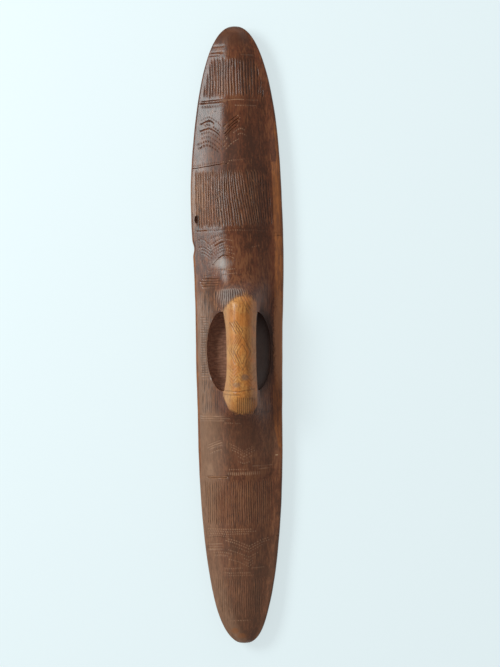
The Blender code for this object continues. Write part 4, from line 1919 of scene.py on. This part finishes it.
@dataclass(frozen=True)
class CarvedShield:
    """The shield with its grip, carved from one piece of wood."""

    form: ShieldForm = field(default_factory=ShieldForm)
    carving: Carving = field(default_factory=Carving)
    finish: OiledHardwood = field(default_factory=OiledHardwood)
    front_row_step: float = 0.006
    front_columns: int = 30
    front_tip: float = 0.022
    front_tip_rows: int = 7
    heel_setback: float = 0.0004
    sharp_angle: float = math.radians(48)

    def front_row(self, y: float) -> Row:
        """One row of points across the front, which is plain but for soft marks of the adze.

        Args:
            y: Place along the shield.

        Returns:
            The row's points with their keys.
        """
        form = self.form
        found: Row = []
        for k in range(self.front_columns + 1):
            share = blend(-1.0, 1.0, k / self.front_columns)
            x = share * form.inner_half_width(y)
            facet = 0.00030 * abs(ripple(x / 0.017, y / 0.045, 61.0)) * (1.0 - share**6)
            found.append((share, Vector((form.centre_line(y) + x, y, form.front_height(share, y) + facet))))
        for side in (-1.0, 1.0):
            found += form.rounded_edge(side, y, form.edge_bottom(y), FRONT_EDGE)
        return sorted(found, key=lambda pair: pair[0])

    def front_places(self) -> list[float]:
        """Places of the front's rows along the shield, closer together at the tips.

        Returns:
            The places, from the upper tip to the lower tip.
        """
        half, reach = self.form.length / 2, self.front_tip
        count = round((2.0 * half - 2.0 * reach) / self.front_row_step)
        tip = [reach * (k / self.front_tip_rows) ** 2 for k in range(1, self.front_tip_rows)]
        middle = [blend(half - reach, reach - half, k / count) for k in range(count + 1)]
        return [half - away for away in tip] + middle + [away - half for away in reversed(tip)]

    def skin(self) -> Skin:
        """The whole carved board as one closed skin, with the ridge for the grip still solid.

        Returns:
            The skin.
        """
        form = self.form
        skin = Skin()
        back = [skin.add_row(row) for band in self.carving.bands() for row in band.rows(form)]
        front = [skin.add_row(self.front_row(y)) for y in self.front_places()]
        for rows in (back, front):
            for one, other in zip(rows, rows[1:]):
                skin.stitch(one, other)
        ends = []
        half = form.length / 2
        for y, first_back, first_front in ((half, back[0], front[0]), (-half, back[-1], front[-1])):
            heel_y = y - math.copysign(self.heel_setback, y)
            tip, heel = skin.add_row(
                [
                    (-y, Vector((form.centre_line(y), y, form.edge_middle(y)))),
                    (-y, Vector((form.centre_line(y), heel_y, form.edge_bottom(y)))),
                ]
            )
            skin.close(tip[1], first_back)
            skin.close(heel[1], first_front)
            ends.append((tip, heel))
        for side in (0, -1):
            lines = []
            for k, rows in enumerate((back, front)):
                line = [(-skin.points[row[side][1]].y, row[side][1]) for row in rows]
                lines.append([ends[0][k], *line, ends[1][k]])
            skin.stitch(*lines)
        return skin

    def build(self) -> bpy.types.Object:
        """Builds and finishes the shield, and ties it to the frame.

        Returns:
            The finished piece.
        """
        shield = add_object("carved_shield", self.skin().mesh())
        hollow = add_object("hollow", Hollow(self.form).mesh())
        carve_away(hollow, add_object("grip_bar", GripBar(self.form).mesh()))
        carve_away(shield, hollow)
        carve_away(shield, add_object("knot_pit", KnotPit(self.form).mesh()))
        shield.data.shade_smooth()
        shield.data.set_sharp_from_angle(angle=self.sharp_angle)
        WearAndPaintedLightMap(self.form).write(shield.data)
        shield.data.materials.clear()
        shield.data.materials.append(self.finish.material())
        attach(shield, "root")
        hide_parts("shield")
        return shield


@dataclass(frozen=True)
class SoftPanel:
    """A big evenly glowing panel that faces the shield."""

    name: str
    place: Triple
    width: float
    height: float
    power: float
    colour: Colour

    def add(self) -> None:
        """Hangs the panel in its place."""
        lamp = bpy.data.lights.new(self.name, "AREA")
        lamp.shape = "RECTANGLE"
        lamp.size = self.width
        lamp.size_y = self.height
        lamp.energy = self.power
        lamp.color = self.colour
        panel = bpy.data.objects.new(self.name, lamp)
        panel.location = self.place
        panel.rotation_euler = (-Vector(self.place)).to_track_quat("-Z", "Y").to_euler()
        bpy.context.scene.collection.objects.link(panel)


@dataclass(frozen=True)
class Studio:
    """The floor, the soft daylight and the camera above the shield."""

    floor_size: float = 6.0
    panels: tuple[SoftPanel, ...] = (
        SoftPanel("window", (-1.38, 0.64, 1.20), 0.94, 0.60, 37.0, (0.84, 0.98, 1.0)),
        SoftPanel("left_wall", (-1.75, -0.60, 1.20), 1.8, 1.1, 2.5, (0.98, 0.99, 1.0)),
        SoftPanel("head_panel", (0.50, 2.20, 0.80), 2.6, 0.8, 8.0, (0.96, 0.99, 1.0)),
    )
    ambient_colour: Colour = (0.94, 0.98, 1.0)
    ambient_strength: float = 0.41
    camera_distance: float = 2.0
    outline_height: float = 0.014
    metres_a_pixel: float = 0.0012
    picture_height: int = 667
    camera_x: float = 0.0134
    camera_y: float = 0.0012
    roll: float = -0.01484
    sensor: float = 36.0

    def add_floor(self) -> None:
        """Lays the pale floor under the shield."""
        half = self.floor_size / 2
        mesh = bmesh.new()
        corners = [(-half, -half), (half, -half), (half, half), (-half, half)]
        mesh.faces.new([mesh.verts.new((x, y, 0.0)) for x, y in corners])
        floor = add_object("floor", mesh)
        floor.data.materials.append(PaleFloor().material())

    def add_light(self) -> None:
        """Hangs the panels and fills the room with a dim glow."""
        for panel in self.panels:
            panel.add()
        world = bpy.data.worlds.new("room")
        world.use_nodes = True
        backdrop = world.node_tree.nodes["Background"]
        backdrop.inputs["Color"].default_value = (*self.ambient_colour, 1.0)
        backdrop.inputs["Strength"].default_value = self.ambient_strength
        bpy.context.scene.world = world
        bpy.context.scene.view_settings.view_transform = "Standard"

    def add_camera(self) -> None:
        """Hangs the camera straight above the shield, turned a little as in the photograph."""
        lens = bpy.data.cameras.new("camera")
        lens.sensor_width = self.sensor
        lens.lens = self.sensor * self.camera_distance / (self.picture_height * self.metres_a_pixel)
        camera = bpy.data.objects.new("camera", lens)
        camera.location = (self.camera_x, self.camera_y, self.outline_height + self.camera_distance)
        camera.rotation_euler = (0.0, 0.0, self.roll)
        bpy.context.scene.collection.objects.link(camera)
        bpy.context.scene.camera = camera

    def build(self) -> None:
        """Sets up the whole studio."""
        self.add_floor()
        self.add_light()
        self.add_camera()


def main() -> None:
    """Builds the shield and its studio and logs the shield's size."""
    logging.basicConfig(level=logging.INFO, format="%(name)s: %(message)s")
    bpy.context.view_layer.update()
    shield = CarvedShield().build()
    LOG.info("%s: %d points, %d faces", shield.name, len(shield.data.vertices), len(shield.data.polygons))
    shield.data.calc_loop_triangles()
    LOG.info("%s: %d triangles", shield.name, len(shield.data.loop_triangles))
    Studio().build()


if __name__ == "__main__":
    main()
